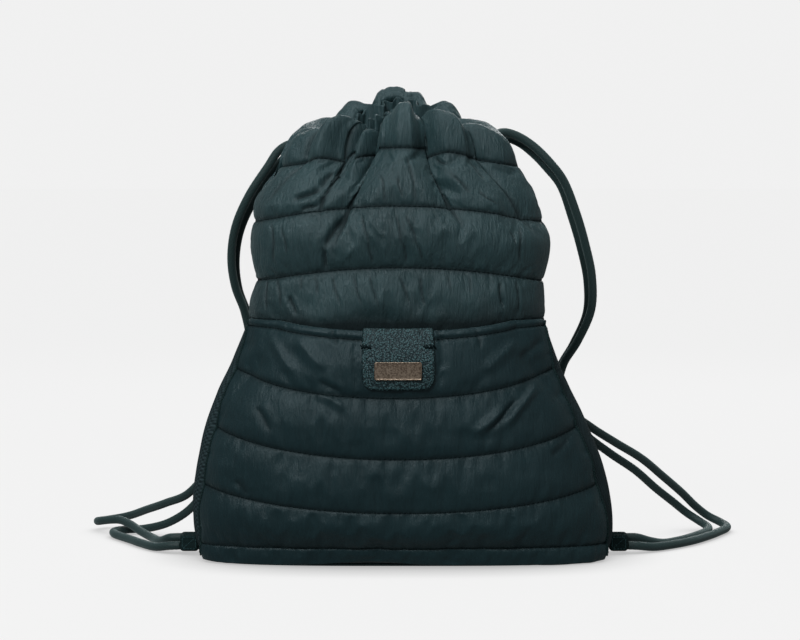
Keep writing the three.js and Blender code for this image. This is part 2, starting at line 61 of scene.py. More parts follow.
# part of the collar's length that belongs to the front
FRONT_SHARE = 36 / 56
TAB_WIDTH, TAB_HEIGHT, TAB_WALL, TAB_CORNER, TAB_INSIDE = 60, 50, 2, 10, 9
TAB_CENTRE, TAB_CLEAR, STITCH_INSET = -3.4, 0.5, 3.2
TACK_DROP, TACK_STITCHES, TACK_STEP, TACK_RADIUS = 13, 7, 1.35, 0.7
PLATE_WIDTH, PLATE_HEIGHT, PLATE_CORNER, PLATE_RISE = 40.5, 15.4, 1.8, 9.3
# inset, rise: the plate's section from its rim inwards
PLATE_PROFILE = [(0, 0), (0, 1.1), (0.15, 1.4), (0.35, 1.55), (0.6, 1.58), (0.8, 1.42),
                 (0.9, 1.12), (1.2, 1.02), (2.2, 1.0)]
CORD_DIAMETER, BRAID_PITCH, BRAID_STRANDS, WELT_STEP = 7.6, 9.0, 8, 0.65
# height of the base's turned edge
BASE_TURN = 0.9
CENTRE_Y = (POCKET_ROOM + CLOTH_WALL + QUILT_PUFF - BACK_PUFF) / 2
LOWER_START = CLOTH_WALL + GAP

# at, half width, lean, front, back, power
SECTIONS = np.array([
    (0, 0.965, 0.005, 0.46, 0.46, 3.3), (0.04, 1, 0.005, 0.48, 0.475, 3.2),
    (0.1, 1.006, 0.001, 0.495, 0.48, 3.1), (0.16, 0.992, -0.003, 0.5, 0.485, 3),
    (0.225, 0.956, -0.008, 0.5, 0.485, 3), (0.295, 0.904, -0.014, 0.495, 0.48, 3),
    (0.36, 0.841, -0.018, 0.485, 0.475, 3), (0.43, 0.769, -0.016, 0.472, 0.465, 2.9),
    (0.5, 0.714, -0.014, 0.457, 0.455, 2.8), (0.55, 0.69, -0.012, 0.455, 0.45, 2.7),
    (0.6, 0.687, -0.006, 0.46, 0.455, 2.6), (0.68, 0.708, -0.004, 0.49, 0.48, 2.5),
    (0.72, 0.694, -0.008, 0.485, 0.475, 2.4), (0.756, 0.673, -0.013, 0.475, 0.46, 2.4),
    (0.79, 0.637, -0.012, 0.455, 0.44, 2.3), (0.825, 0.59, -0.01, 0.42, 0.41, 2.2),
    (0.88, 0.515, -0.004, 0.365, 0.36, 2.2),
])
# side, front, back: heights of the upper cross seams
UPPER_SEAMS = [(0.165, 0.23, 0.2), (0.425, 0.495, 0.47), (0.665, 0.745, 0.72)]
# at, inward, rise
NECK = np.array([
    (0, 1, 0), (0.25, 0.955, 0.42), (0.5, 0.88, 0.8), (0.7, 0.78, 0.98),
    (0.82, 0.7, 1), (0.92, 0.63, 0.93), (1, 0.6, 0.82),
])
# top, foot, down, deep, reach, lip: how far one side of the fold lies over the valley, mm
FRONT_PLEATS = [
    (-0.9, -0.94, 0.78, 0.5, 0.15, 0), (-0.58, -0.55, 0.74, 1.1, 0.17, 3),
    (-0.2, -0.5, 0.66, 1.35, 0.2, -5), (0.27, 0.46, 0.72, 1.3, 0.18, 4.5),
    (0.78, 0.95, 0.7, 0.9, 0.17, 4.5),
]
BACK_PLEATS = [
    (-0.8, -0.86, 0.74, 0.8, 0.18, 3), (-0.4, -0.48, 0.72, 1, 0.2, -4),
    (0.12, 0.1, 0.7, 0.45, 0.16, 4), (0.42, 0.5, 0.72, 1, 0.2, -3), (0.8, 0.88, 0.74, 0.8, 0.18, 3),
]
FOLD_SHARE = 1.35
# which two folds of the front bound a part that lies sunk between the lobes, depth, drop of its crest
SUNKEN = [(1, 2, 11, 13), (3, 4, 1, 0)]
# x, half width, rise of the places where the pocket's lower edge hangs higher, millimetres
HEM_RISES = [(-28, 42, 3.6), (-178, 14, 1.6)]
HEM_CLEAR, HEM_OUT, HEM_ROW, REAR_LOBE, SLIT_WIDTH = 0.7, 3, 4.87, 4, 0.024
# a usual row of the quilting and how far a seam's pull reaches from it, millimetres
ROW_HEIGHT, SEAM_SPREAD = 50, 2.2
PUFF_SHARE, POCKET_SHARE, NECK_PUFF, UPPER_FILL = 0.42, 0.3, 0.4, 0.9
# x and z of both ends, half width, depth (negative: a ridge), millimetres
UPPER_CREASES = [
    (-49, 303, -67, 274, 4, 2.8), (-67, 275, -64, 254, 2, 1.3), (-93, 315, -69, 326, 3, 2.2),
    (-69, 326, -60, 341, 3, 1.8), (-88, 306, -72, 312, 2.4, 1.4), (-19, 339, -13, 311, 1.3, 0.9),
    (-4, 339, 0, 318, 1.2, 0.7), (5, 354, 12, 315, 1.3, 0.9), (57, 348, 72, 334, 1.4, 0.9),
    (42, 340, 58, 322, 1.5, 0.8), (66, 324, 82, 311, 1.4, 0.7), (27, 352, 38, 346, 2, 1.6),
    (-35, 304, -28, 278, 1.4, 1.1), (-29, 281, -25, 262, 1.4, 1), (-6, 304, 1, 278, 1.3, 0.9),
    (0, 281, 5, 262, 1.3, 0.8), (4, 304, 12, 281, 1.4, 1.1), (11, 285, 18, 262, 1.4, 1.1),
    (-69, 277, -65, 256, 1.5, 1.2), (-113, 297, -111, 260, 1.6, 0.9), (-103, 294, -100, 270, 1.4, 0.6),
    (101, 294, 103, 260, 1.6, 0.9), (93, 290, 98, 276, 1.4, 0.6), (-30, 300, -14, 284, 3, -0.9),
    (-76, 252, -72, 236, 1.3, 0.8), (-60, 254, -54, 226, 1.4, 1), (-43, 252, -34, 226, 1.4, 0.9),
    (-28, 254, -19, 219, 1.5, 1.1), (-2, 254, 7, 223, 1.4, 0.9), (14, 254, 20, 224, 1.4, 1),
    (-118, 248, -117, 218, 1.8, 1), (-108, 250, -105, 222, 1.5, 0.7), (84, 246, 87, 222, 2, 2),
    (99, 248, 101, 216, 1.6, 0.9), (-97, 234, -92, 216, 2.6, 2), (38, 253, 43, 238, 1.3, 0.6),
    (56, 253, 60, 236, 1.3, 0.6), (-88, 252, -86, 238, 1.3, 0.6),
]
POCKET_CREASES = [
    (59, 115, 88, 138, 5, -1.7), (88, 121, 116, 158, 4, -2), (72, 118, 100, 146, 3, 1.6),
    (-77, 155, -48, 138, 4.5, -1.5), (-92, 200, -65, 170, 6, -1.6), (70, 168, 99, 197, 6, -1.5),
    (-117, 205, -92, 166, 5, -1.4), (-72, 164, -50, 150, 3, 1.1), (101, 178, 121, 196, 4, 1.2),
    (-145, 76, -132, 62, 4, 1.1), (-126, 140, -112, 118, 4, 1), (128, 96, 146, 112, 4, 1.1),
    (30, 206, 34, 194, 3, 1), (-60, 206, -56, 192, 3, 1.1), (62, 206, 68, 190, 3, 1),
]
# cells between the seams of each quilted panel's first grid, from its foot up
FRONT_CELLS, BACK_CELLS, POCKET_CELLS = (24, 23, 22, 40), (18, 18, 18, 30), (8, 23, 23, 23, 20)
# side, sag: cross seams of the pocket
POCKET_SEAMS = [(0.078, 0), (0.325, 0.094), (0.562, 0.113), (0.8, 0.105)]
# at, front, back: sewn edges of the gussets
GUSSET_SEAMS = np.array([
    (0, 0.965, 0.9), (0.15, 0.95, 0.9), (0.4, 0.93, 0.9), (0.75, 0.94, 0.9), (1, 0.97, 0.9),
])
CORD_ROUTES = {
    "cord_left_outer": [
        (-95.1, 33.3, 364.2), (-101.5, 37.2, 363.6), (-110.5, 40.5, 357.5), (-119, 42, 345), (-137, 47, 318),
        (-149.5, 56, 290), (-153.8, 65, 262), (-151, 74, 236), (-143, 83, 212), (-138.5, 89, 183),
        (-143, 94, 148), (-157, 97, 108), (-175, 100, 70), (-197, 110, 43), (-220, 132, 31),
        (-241, 159, 21), (-257, 178, 13.4), (-267.5, 186, 10), (-280, 185.5, 8), (-288, 174, 8.3),
        (-285, 159, 10.3), (-274, 147, 13), (-263.5, 137.5, 14.2), (-254, 126, 12.5),
        (-241, 106, 8), (-228, 80, 6), (-217, 48, 8), (-207.3, 33.2, 12.8), (-196.8, 31.4, 13.5),
    ],
    "cord_left_inner": [
        (-85.6, 41, 361.9), (-91.5, 47.6, 361.8), (-100.5, 53.2, 356.3), (-112, 54, 344.5), (-132, 60, 316),
        (-146, 70, 287), (-151, 80, 259), (-149, 89, 233), (-141.5, 98, 209), (-138, 104, 180),
        (-143, 109, 145), (-156, 112, 104), (-173, 112, 62), (-193, 113, 31), (-216, 125, 14),
        (-241.5, 141, 5.5), (-253, 144, 4.6), (-263.5, 139.5, 4.4), (-268.5, 128.5, 4.4), (-266, 114, 4.4),
        (-258, 98, 4.4), (-248, 80, 4.4), (-236, 57, 4.4), (-220, 33, 4.6), (-207.5, 23.5, 6.9),
        (-197.7, 21.9, 7.5),
    ],
    "cord_right_outer": [
        (84.3, 32.9, 373.4), (91, 37, 374.8), (103, 40.2, 371.3), (117.5, 41, 362), (133, 41, 346.5),
        (144, 45, 332), (156, 52, 303), (165, 60, 274), (171.5, 68, 245), (171.5, 75, 215),
        (160, 83, 186), (147, 90, 163), (144, 95, 138), (155, 98, 120), (174, 101, 105),
        (197, 109, 90), (222, 123, 74), (244, 142, 55), (264, 161, 37), (279, 174, 22),
        (291, 179.5, 12.5), (301.5, 175.8, 7.4), (307, 165, 4.9), (304.5, 150, 4.4), (297, 132, 4.4),
        (284, 105, 4.4), (265, 73, 4.4), (244, 48, 4.4), (225, 31, 4.8), (211, 23.2, 6.9),
        (201.2, 21.9, 7.5),
    ],
    "cord_right_inner": [
        (73.9, 41.7, 370.2), (79.6, 48.2, 371.8), (90.5, 53, 371), (105, 53, 365.5), (118, 54, 355.5),
        (130, 55, 343), (142, 58, 328), (153, 66, 299), (162, 74, 270), (168.5, 82, 241),
        (168.5, 89, 211), (157, 97, 182), (145, 103, 159), (143, 108, 135), (153, 110, 115),
        (171, 112, 96), (193, 117, 79), (217, 130, 62), (238, 147, 43), (256, 162, 28),
        (270, 169, 16.5), (281, 166, 9.5), (288, 156, 5.5), (287, 142, 4.4), (281, 124, 4.4),
        (268, 98, 4.4), (252, 73, 4.4), (236, 54, 5), (222, 39, 9), (210, 32.9, 13),
        (200.3, 31.4, 13.5),
    ],
}

# Camera: a long lens, level with the bag's upper part and pitched a little down
CAMERA_AT = (-0.0018, -2.28, 0.35)
CAMERA_LENS = 117.1
CAMERA_PITCH = math.radians(3.514)
# Radius of the floor and the dome in metres, and the dome's brightness
FLOOR_RADIUS, BACKDROP = 30.0, 0.876


def clamp01(value):
    return np.clip(value, 0, 1)


def smooth(value):
    t = clamp01(value)
    return t * t * (3 - 2 * t)


def mix(a, b, share):
    return a + (b - a) * share


def points_at(x, y, z):
    """A grid of points from values that broadcast against each other."""
    return np.stack(np.broadcast_arrays(x, y, z), -1)


def read(table, column, at):
    """One column of a table at a place, along a smooth curve through its rows."""
    keys, values = table[:, 0], table[:, column]
    place = np.clip(at, keys[0], keys[-1])
    i = np.clip(np.searchsorted(keys, place, "left") - 1, 0, len(keys) - 2)
    before = np.maximum(np.arange(len(keys)) - 1, 0)
    after = np.minimum(np.arange(len(keys)) + 1, len(keys) - 1)
    slope = (values[after] - values[before]) / (keys[after] - keys[before])
    span = keys[i + 1] - keys[i]
    t = (place - keys[i]) / span
    bend = t * (1 - t) * span
    return mix(values[i], values[i + 1], smooth(t)) + bend * ((1 - t) * slope[i] - t * slope[i + 1])


def section(z):
    """Half width, lean, depth to the front and back and power of the plan section at a height."""
    at = np.asarray(z) / BODY_HEIGHT
    half, lean, front, back, power = (read(SECTIONS, column, at) for column in range(1, 6))
    return half * BODY_WIDTH / 2, lean * BODY_WIDTH, front * BODY_DEPTH, back * BODY_DEPTH, power


def facing(turn, power):
    """Where a superellipse of that power lies across and along at a turn; -1 along is its front."""
    sine, cosine = np.sin(turn), np.cos(turn)
    scale = (np.abs(sine) ** power + np.abs(cosine) ** power) ** (-1 / power)
    return sine * scale, -cosine * scale


def body_point(turn, z, out):
    """Point of the bag's plain form at a turn and height, moved outwards."""
    half, lean, front, back, power = section(z)
    across, along = facing(turn, power)
    deep = np.where(along < 0, front, back)
    return points_at(lean + (half + out) * across, CENTRE_Y + (deep + out) * along, z)


def turn_at(across, z, behind=False):
    """The turn at which the section at a height has that place across."""
    power = section(z)[4]
    along = np.maximum(0, 1 - np.abs(across) ** power) ** (1 / power)
    return np.arctan2(across, -along if behind else along)


def pillow(t):
    """Rounded section of padding between two seams, at 0 and 1."""
    return np.sin(np.pi * clamp01(t)) ** 0.75


def valley(distance):
    """Round folds that meet in a valley: 1 in the valley, 0 on the fold's back."""
    near = 1 - np.minimum(1, np.abs(distance))
    return 0.4 * (1 - np.sqrt(1 - near * near)) + 0.6 * smooth(near * 1.15)


def hashed(ix, iy, iz, seed):
    """One steady number from 0 to 1 for each cell of a lattice."""
    h = (ix * 374761393 + iy * 668265263 + iz * 974711 + seed * 144665) & 0xFFFFFFFF
    for shift, factor in ((13, 1274126177), (16, 2246822519)):
        h = ((h ^ (h >> shift)) * factor) & 0xFFFFFFFF
    return ((h ^ (h >> 15)) & 0xFFFFFF) / 0xFFFFFF


def noise(points, size, seed=0):
    """Smooth noise from -1 to 1 with features of that size, one size for each axis or for all."""
    p = np.asarray(points, float) / np.asarray(size, float) + 1000.5
    cell = np.floor(p).astype(np.int64)
    f = p - cell
    f = f * f * f * (f * (f * 6 - 15) + 10)
    total = 0
    for corner in np.ndindex(2, 2, 2):
        weight = np.prod(np.where(corner, f, 1 - f), -1)
        total = total + weight * hashed(*np.moveaxis(cell + corner, -1, 0), seed)
    return 2 * total - 1


# Forms of the bag

def mouth_shape(across):
    return np.maximum(0, 1 - (across / MOUTH_REACH) ** 2)


def upper_start(across, front):
    behind = smooth((MOUTH_REACH - np.abs(across)) / 0.3) if front else 0
    return POCKET_HEIGHT + GAP - MOUTH_TUCK * behind


def lobe_drop(across):
    """How far each lobe of the front carries its cross seam below its neighbour's."""
    between = 5.5 * smooth((across + 0.52) / 0.04) * smooth((-0.2 - across) / 0.04)
    right = 8 * smooth((across - 0.24) / 0.03) * np.exp(-((across - 0.26) / 0.12) ** 2)
    left = 7 * smooth((-0.54 - across) / 0.03) * np.exp(-((across + 0.57) / 0.1) ** 2)
    return between + right + left


def upper_seam(index, across, front):
    if index == 0:
        return upper_start(across, front)
    side, ahead, behind = UPPER_SEAMS[index - 1]
    share = mix(side, ahead if front else behind, 1 - across * across)
    lobes = lobe_drop(across) if front and index == 3 else 0
    return POCKET_HEIGHT + (BODY_HEIGHT - POCKET_HEIGHT) * share - lobes


def crest_height(turn):
    drop = CREST_FRONT_DROP * (1 + np.cos(turn)) / 2 + CREST_SIDE_DROP * np.sin(turn) ** 2
    return BODY_HEIGHT - drop


def rear_lobe(across):
    """Height by which the cloth stands up behind the middle of the neck."""
    return REAR_LOBE * np.exp(-((across + 0.05) / 0.3) ** 2)


def fold_lines(z, front):
    """For each fold gathered into the neck: its place across at a height, how far up it that
    is, and its depth, reach and lip."""
    for top, foot, down, deep, reach, lip in FRONT_PLEATS if front else BACK_PLEATS:
        start = (down - 0.03) * BODY_HEIGHT
        share = (z - start) / (upper_seam(3, top, front) - start)
        yield mix(foot, top, clamp01(share)), share, deep, reach, lip


def pleats(across, z, front):
    """Depth of the folds, how far their lips lie over them, and the drop of the sunk parts."""
    depth = over = sunk = 0
    folds = list(fold_lines(z, front))
    for place, share, deep, reach, lip in folds:
        off = (across - place) / reach
        level = smooth(share)
        depth = depth + FOLD_SHARE * PLEAT_DEPTH * deep * level * valley(off)
        over = over + lip * level * np.exp(-((off + 0.14 * np.sign(lip)) / 0.13) ** 2)
    for left, right, deep, drop in SUNKEN if front else []:
        (low, low_share), (high, high_share) = folds[left][:2], folds[right][:2]
        inside = smooth((across - low) / 0.07) * smooth((high - across) / 0.07)
        level = np.minimum(smooth(low_share), smooth(high_share)) ** 2
        depth = depth + deep * inside * level
        sunk = sunk + drop * inside * level
    return depth, over, sunk


def between_seams(seams, up):
    """Height of a place up a panel, counted in rows, from the heights of its cross seams."""
    row = np.minimum(len(seams) - 2, np.floor(up)).astype(int)
    lines = np.stack([seam + 0 * up for seam in seams])
    low, high = (np.take_along_axis(lines, row[None] + k, 0)[0] for k in (0, 1))
    return mix(low, high, np.minimum(len(seams) - 1, up) - row)


def upper_point(front, turn, up, out, extra=0):
    """Point of an upper panel. extra: more fold depth, at the places given."""
    turn, up = np.broadcast_arrays(turn, up)
    across = facing(turn, section(POCKET_HEIGHT)[4])[0]
    z = between_seams([upper_seam(k, across, front) for k in range(4)], up)
    fold, over, sunk = pleats(across, z, front)
    fold = fold + extra
    over = over if front else -over
    foot = body_point(turn, z, out - fold)
    lean = section(z)[1]
    inward = read(NECK, 1, up - 3)
    rise = read(NECK, 2, up - 3)
    crest = crest_height(turn) - FOLD_DROP * fold - sunk
    crest = crest + (0 if front else rear_lobe(across))
    neck = points_at(mix(lean, foot[..., 0], inward), mix(CENTRE_Y, foot[..., 1], inward),
                     mix(z, crest, rise) + np.minimum(0, out) * rise)
    placed = np.where((up <= 3)[..., None], foot, neck)
    placed[..., 0] += over * np.clip(4.4 - up, 0, 1)
    return placed


def panel_turn(front, share):
    return mix(-math.pi / 2, math.pi / 2, share) + (0 if front else math.pi)


def pocket_across(v, z):
    return v * read(GUSSET_SEAMS, 1, z / POCKET_HEIGHT)


def pocket_seam(index, v):
    if index == 0:
        return LOWER_START + 0 * v
    if index == 5:
        return POCKET_HEIGHT - MOUTH_SAG * mouth_shape(v)
    side, sag = POCKET_SEAMS[index - 1]
    return POCKET_HEIGHT * (side - sag * (1 - v * v))


def room_at(v, z):
    share = z / POCKET_HEIGHT
    reach = mix(1, MOUTH_REACH, smooth(share * 2 - 1))
    across = np.maximum(0, 1 - np.abs(v / reach) ** 2.6)
    return GAP + POCKET_ROOM * across * smooth(share * 5) * (1 - 0.2 * share)


def pocket_point(v, up, out):
    v, up = np.broadcast_arrays(v, up)
    z = between_seams([pocket_seam(k, v) for k in range(6)], up)
    return body_point(turn_at(pocket_across(v, z), z), z, room_at(v, z) + out)


def pocket_puff(up):
    return QUILT_PUFF * pillow(up % 1) * np.where(up < 1, 0.5, 1)


def hem_lift(points):
    """Height of the pocket's lower edge over the floor: the cloth hangs unevenly."""
    rises = sum(high * np.exp(-((points[..., 0] - at) / half) ** 2) for at, half, high in HEM_RISES)
    return HEM_CLEAR + rises + 0.5 * (1 + noise(points, (24, 60, 60), 71))


def under_tab(points):
    """1 where the pocket lies under the leather tab, 0 away from it."""
    off = np.abs(points[..., 0] - TAB_CENTRE) - TAB_WIDTH / 2
    low = (POCKET_HEIGHT - MOUTH_SAG - TAB_HEIGHT) - points[..., 2]
    return smooth(1 - off / 8) * smooth(1 - low / 8)


def slits(across, z, front):
    """1 in the bottom of each neck fold, falling to 0 within a few millimetres; it presses the fold in and
    is painted there as shade.
    """
    dark = 0
    for place, share, deep, reach, lip in fold_lines(z, front):
        line = smooth(share * 2.5) * np.exp(-((across - place) / SLIT_WIDTH) ** 2)
        dark = np.maximum(dark, min(1, deep) * line)
    return dark


def creased(grid, table):
    """The grid with soft folds pressed into its front along the lines of a table, and the painted shade in
    the folds at each point, 0 to 1, darkest where a point lies deepest in a fold."""
    depth = dark = 0
    for x0, z0, x1, z1, half, deep in table:
        line = np.array([x1 - x0, z1 - z0], float)
        flat = grid[..., [0, 2]] - (x0, z0)
        t = (flat @ line) / (line @ line)
        wander = 0.7 * np.sin(t * 5 + x0)
        side = (flat @ np.array([line[1], -line[0]])) / np.linalg.norm(line) + wander
        end = np.linalg.norm(flat - clamp01(t)[..., None] * line, axis=-1)
        off = np.where((t > 0) & (t < 1), np.abs(side), end + 1e-6)
        fade = smooth(np.minimum(t, 1 - t) * 3.5 + 0.1)
        sharp = 1 - np.minimum(1, off / (1.6 * half))
        depth = depth + 1.3 * deep * fade * sharp ** 2 * (3 - 2 * sharp) ** 0.5
        # painted shade along the bottom of each fold; ridges get none
        dark = np.maximum(dark, min(1, max(0, 1.5 * deep)) * fade ** 0.5 * sharp ** 2.2)
        shoulder = np.exp(-((off - 1.7 * half) / half) ** 2)
        depth = depth - 0.25 * deep * fade * shoulder
    front = smooth((CENTRE_Y - grid[..., 1]) / 20)
    return grid - normals_of(grid) * (depth * front)[..., None], dark * front


def pocket_row(v, z):
    """Row of the pocket at a height, 0 to 5."""
    row = -np.inf
    for k in range(5):
        low, high = pocket_seam(k, v), pocket_seam(k + 1, v)
        row = np.where((z >= low) | (k == 0), k + (z - low) / (high - low), row)
    return row


def gusset_point(side, across, z, out):
    share = z / POCKET_HEIGHT
    start = turn_at(read(GUSSET_SEAMS, 1, share), z)
    end = turn_at(read(GUSSET_SEAMS, 2, share), z, True)
    return body_point(side * mix(start, end, across), z, out)


def gusset_swell(across, z):
    return GUSSET_PUFF * pillow(across) * (1 - 0.5 * (2 * z / POCKET_HEIGHT - 1) ** 4)


def back_point(i, j, out):
    z = mix(LOWER_START, POCKET_HEIGHT, j)
    edge = read(GUSSET_SEAMS, 2, z / POCKET_HEIGHT)
    return body_point(turn_at(edge * (1 - 2 * i), z, True), z, out)


def back_swell(i, j):
    return BACK_PUFF * pillow(i) ** 0.5 * pillow(j) ** 0.5


# Meshes

def link(name, data):
    piece = bpy.data.objects.new(name, data)
    bpy.context.scene.collection.objects.link(piece)
    return piece


def mesh_object(name, points, faces, attributes=None):
    """A mesh piece from millimetre points. attributes: a value for each point, by name."""
    mesh = bpy.data.meshes.new(name)
    mesh.from_pydata((np.asarray(points) * MM).tolist(), [], [tuple(f) for f in faces])
    for key, values in (attributes or {}).items():
        layer = mesh.attributes.new(key, "FLOAT", "POINT")
        layer.data.foreach_set("value", np.asarray(values, np.float32).ravel())
    mesh.polygons.foreach_set("use_smooth", [True] * len(mesh.polygons))
    mesh.validate()
    mesh.update()
    return link(name, mesh)


def normals_of(grid):
    """Unit normals of a grid of points, by its rows and columns."""
    away = np.cross(np.gradient(grid, axis=1), np.gradient(grid, axis=0))
    return away / np.maximum(1e-9, np.linalg.norm(away, axis=-1, keepdims=True))


def lines_on(grid, *places):
    """The points and normals of a grid at each of those places, such as a row or a column."""
    normal = normals_of(grid)
    return [(grid[place], normal[place]) for place in places]


def upsample(grid, axis):
    """Twice the lines of a grid, on smooth curves through its points."""
    g = np.moveaxis(grid, axis, 0)
    before = np.concatenate([2 * g[:1] - g[1:2], g[:-1]])[: len(g) - 1]
    after = np.concatenate([g[2:], 2 * g[-1:] - g[-2:-1]])
    half = (-before + 9 * g[:-1] + 9 * g[1:] - after) / 16
    out = np.empty((2 * len(g) - 1,) + g.shape[1:])
    out[::2], out[1::2] = g, half
    return np.moveaxis(out, 0, axis)


def zip_strip(lower, upper):
    """Triangles between two lines of vertices with any number of points each."""
    faces = []
    i = j = 0
    m, n = len(lower) - 1, len(upper) - 1
    while i < m or j < n:
        if j == n or (i < m and (i + 1) / m <= (j + 1) / n):
            faces.append((lower[i], lower[i + 1], upper[j]))
            i += 1
        else:
            faces.append((lower[i], upper[j + 1], upper[j]))
            j += 1
    return faces


def numbered(rows, columns):
    """Vertex numbers of a grid."""
    return np.arange(rows * columns).reshape(rows, columns)


def grid_faces(index, flip=False):
    a, b = index[:-1, :-1].ravel(), index[:-1, 1:].ravel()
    c, d = index[1:, 1:].ravel(), index[1:, :-1].ravel()
    faces = np.stack([a, d, c, b] if flip else [a, b, c, d], 1)
    return faces.tolist()


def shell(name, outer, inner, attributes=None):
    """A closed piece of cloth between an outer grid and a coarser inner one."""
    out = numbered(*outer.shape[:2])
    back = numbered(*inner.shape[:2]) + out.size
    faces = grid_faces(out) + grid_faces(back, flip=True)
    for lower, upper in ((back[0], out[0]), (out[-1], back[-1]), (out[:, 0], back[:, 0]),
                         (back[:, -1], out[:, -1])):
        faces += zip_strip(lower.tolist(), upper.tolist())
    points = np.concatenate([outer.reshape(-1, 3), inner.reshape(-1, 3)])
    values = {
        key: np.concatenate([np.ravel(value), np.zeros(back.size)])
        for key, value in (attributes or {}).items()
    }
    return mesh_object(name, points, faces, values)


def wrapped(rows, columns):
    """Vertex numbers of a grid that meets itself sideways."""
    index = numbered(rows, columns)
    return np.concatenate([index, index[:, :1]], 1)


def capped_faces(rows, columns):
    index = wrapped(rows, columns)
    return grid_faces(index) + [tuple(index[0, -2::-1]), tuple(index[-1, :-1])]


def ring_shell(name, outer, inner):
    """A closed band: outer and inner grids that meet themselves sideways."""
    out = wrapped(*outer.shape[:2])
    back = out + outer.size // 3
    faces = grid_faces(out) + grid_faces(back, flip=True)
    faces += grid_faces(np.stack([back[0], out[0]])) + grid_faces(np.stack([out[-1], back[-1]]))
    return mesh_object(name, np.concatenate([outer.reshape(-1, 3), inner.reshape(-1, 3)]), faces)


def rows_between(cells):
    """Places along a panel whose rows have these numbers of cells, and the seam lines."""
    places = [np.linspace(k, k + 1, n, endpoint=False) for k, n in enumerate(cells)]
    return np.append(np.concatenate(places), len(cells)), np.append(0, np.cumsum(cells))


def tube(path, radius, sides=8, shape=None):
    """Points, faces and relief of a closed round tube along a path. shape: radius share by
    (path, angle)."""
    path = np.asarray(path, float)
    tangent = np.gradient(path, axis=0)
    tangent /= np.linalg.norm(tangent, axis=1, keepdims=True)
    side = np.cross(tangent[0], (0.3, 0.2, 0.93))
    frames = []
    for t in tangent:
        side = side - t * side.dot(t)
        side /= np.linalg.norm(side)
        frames.append(side)
    normal = np.array(frames)
    binormal = np.cross(tangent, normal)
    angle = np.arange(sides) * 2 * math.pi / sides
    size = radius * np.ones((len(path), sides)) if shape is None else radius * shape(path, angle)
    around = np.cos(angle)[:, None] * normal[:, None] + np.sin(angle)[:, None] * binormal[:, None]
    points = (path[:, None] + size[..., None] * around).reshape(-1, 3)
    return points, capped_faces(len(path), sides), size.ravel() / radius


def joined(name, parts):
    """One mesh piece from several lists of points and faces."""
    points, faces, start = [], [], 0
    for p, f in parts:
        points.append(p)
        faces += [tuple(int(v) + start for v in face) for face in f]
        start += len(p)
    return mesh_object(name, np.concatenate(points), faces)


def stitches(name, lines, length=3.0, skip=1.3, radius=0.42, lift=0.25):
    """A row of thread stitches along each line of (points, normals), in millimetres."""
    parts = []
    for points, normals in lines:
        along = along_line(points)
        for start in np.arange(1.0, along[-1] - length, length + skip):
            s = start + length * np.array([0, 0.12, 0.5, 0.88, 1])
            rise = lift + radius * np.array([-1.2, 0, 0.35, 0, -1.2])
            path = values_at(s, along, points) + values_at(s, along, normals) * rise[:, None]
            parts.append(tube(path, radius, 6)[:2])
    return joined(name, parts)


def swell_cloth(grid, pin, pressure, grow, bend, frames=14, cap=9.0):
    """The grid after a short cloth simulation: the cloth is larger than its seams by the share
    grow and is blown outwards, so it puffs and wrinkles between the places that are pinned.
    No point moves by more than cap."""
    scale = 10 * MM
    rows, columns = grid.shape[:2]
    mesh = bpy.data.meshes.new("cloth_trial")
    mesh.from_pydata((grid.reshape(-1, 3) * scale).tolist(), [], grid_faces(numbered(rows, columns)))
    piece = link("cloth_trial", mesh)
    group = piece.vertex_groups.new(name="pin")
    held = np.round(np.asarray(pin, float).ravel(), 2)
    for level in np.unique(held[held > 0]):
        group.add(np.flatnonzero(held == level).tolist(), float(level), "REPLACE")
    cloth = piece.modifiers.new("swell", "CLOTH")
    values = {
        "quality": 6, "mass": 0.15, "air_damping": 2, "tension_stiffness": 12,
        "compression_stiffness": 12, "shear_stiffness": 4, "bending_stiffness": bend,
        "tension_damping": 5, "compression_damping": 5, "shear_damping": 5,
        "vertex_group_mass": "pin", "pin_stiffness": 3, "use_dynamic_mesh": False,
        "shrink_min": -grow, "shrink_max": -grow, "use_pressure": True,
        "uniform_pressure_force": pressure,
    }
    for key, value in values.items():
        setattr(cloth.settings, key, value)
    cloth.settings.effector_weights.gravity = 0
    cloth.collision_settings.use_collision = False
    cloth.collision_settings.use_self_collision = False
    scene = bpy.context.scene
    cloth.point_cache.frame_start = 1
    cloth.point_cache.frame_end = frames
    for number in range(1, frames + 1):
        scene.frame_set(number)
    shown = piece.evaluated_get(bpy.context.evaluated_depsgraph_get()).data
    moved = np.empty(rows * columns * 3)
    shown.vertices.foreach_get("co", moved)
    moved = moved.reshape(rows, columns, 3) / scale
    bpy.data.objects.remove(piece)
    bpy.data.meshes.remove(mesh)
    scene.frame_set(1)
    shift = moved - grid
    far = np.linalg.norm(shift, axis=-1, keepdims=True)
    return grid + shift * np.minimum(1, cap / np.maximum(far, 1e-6))


# Materials

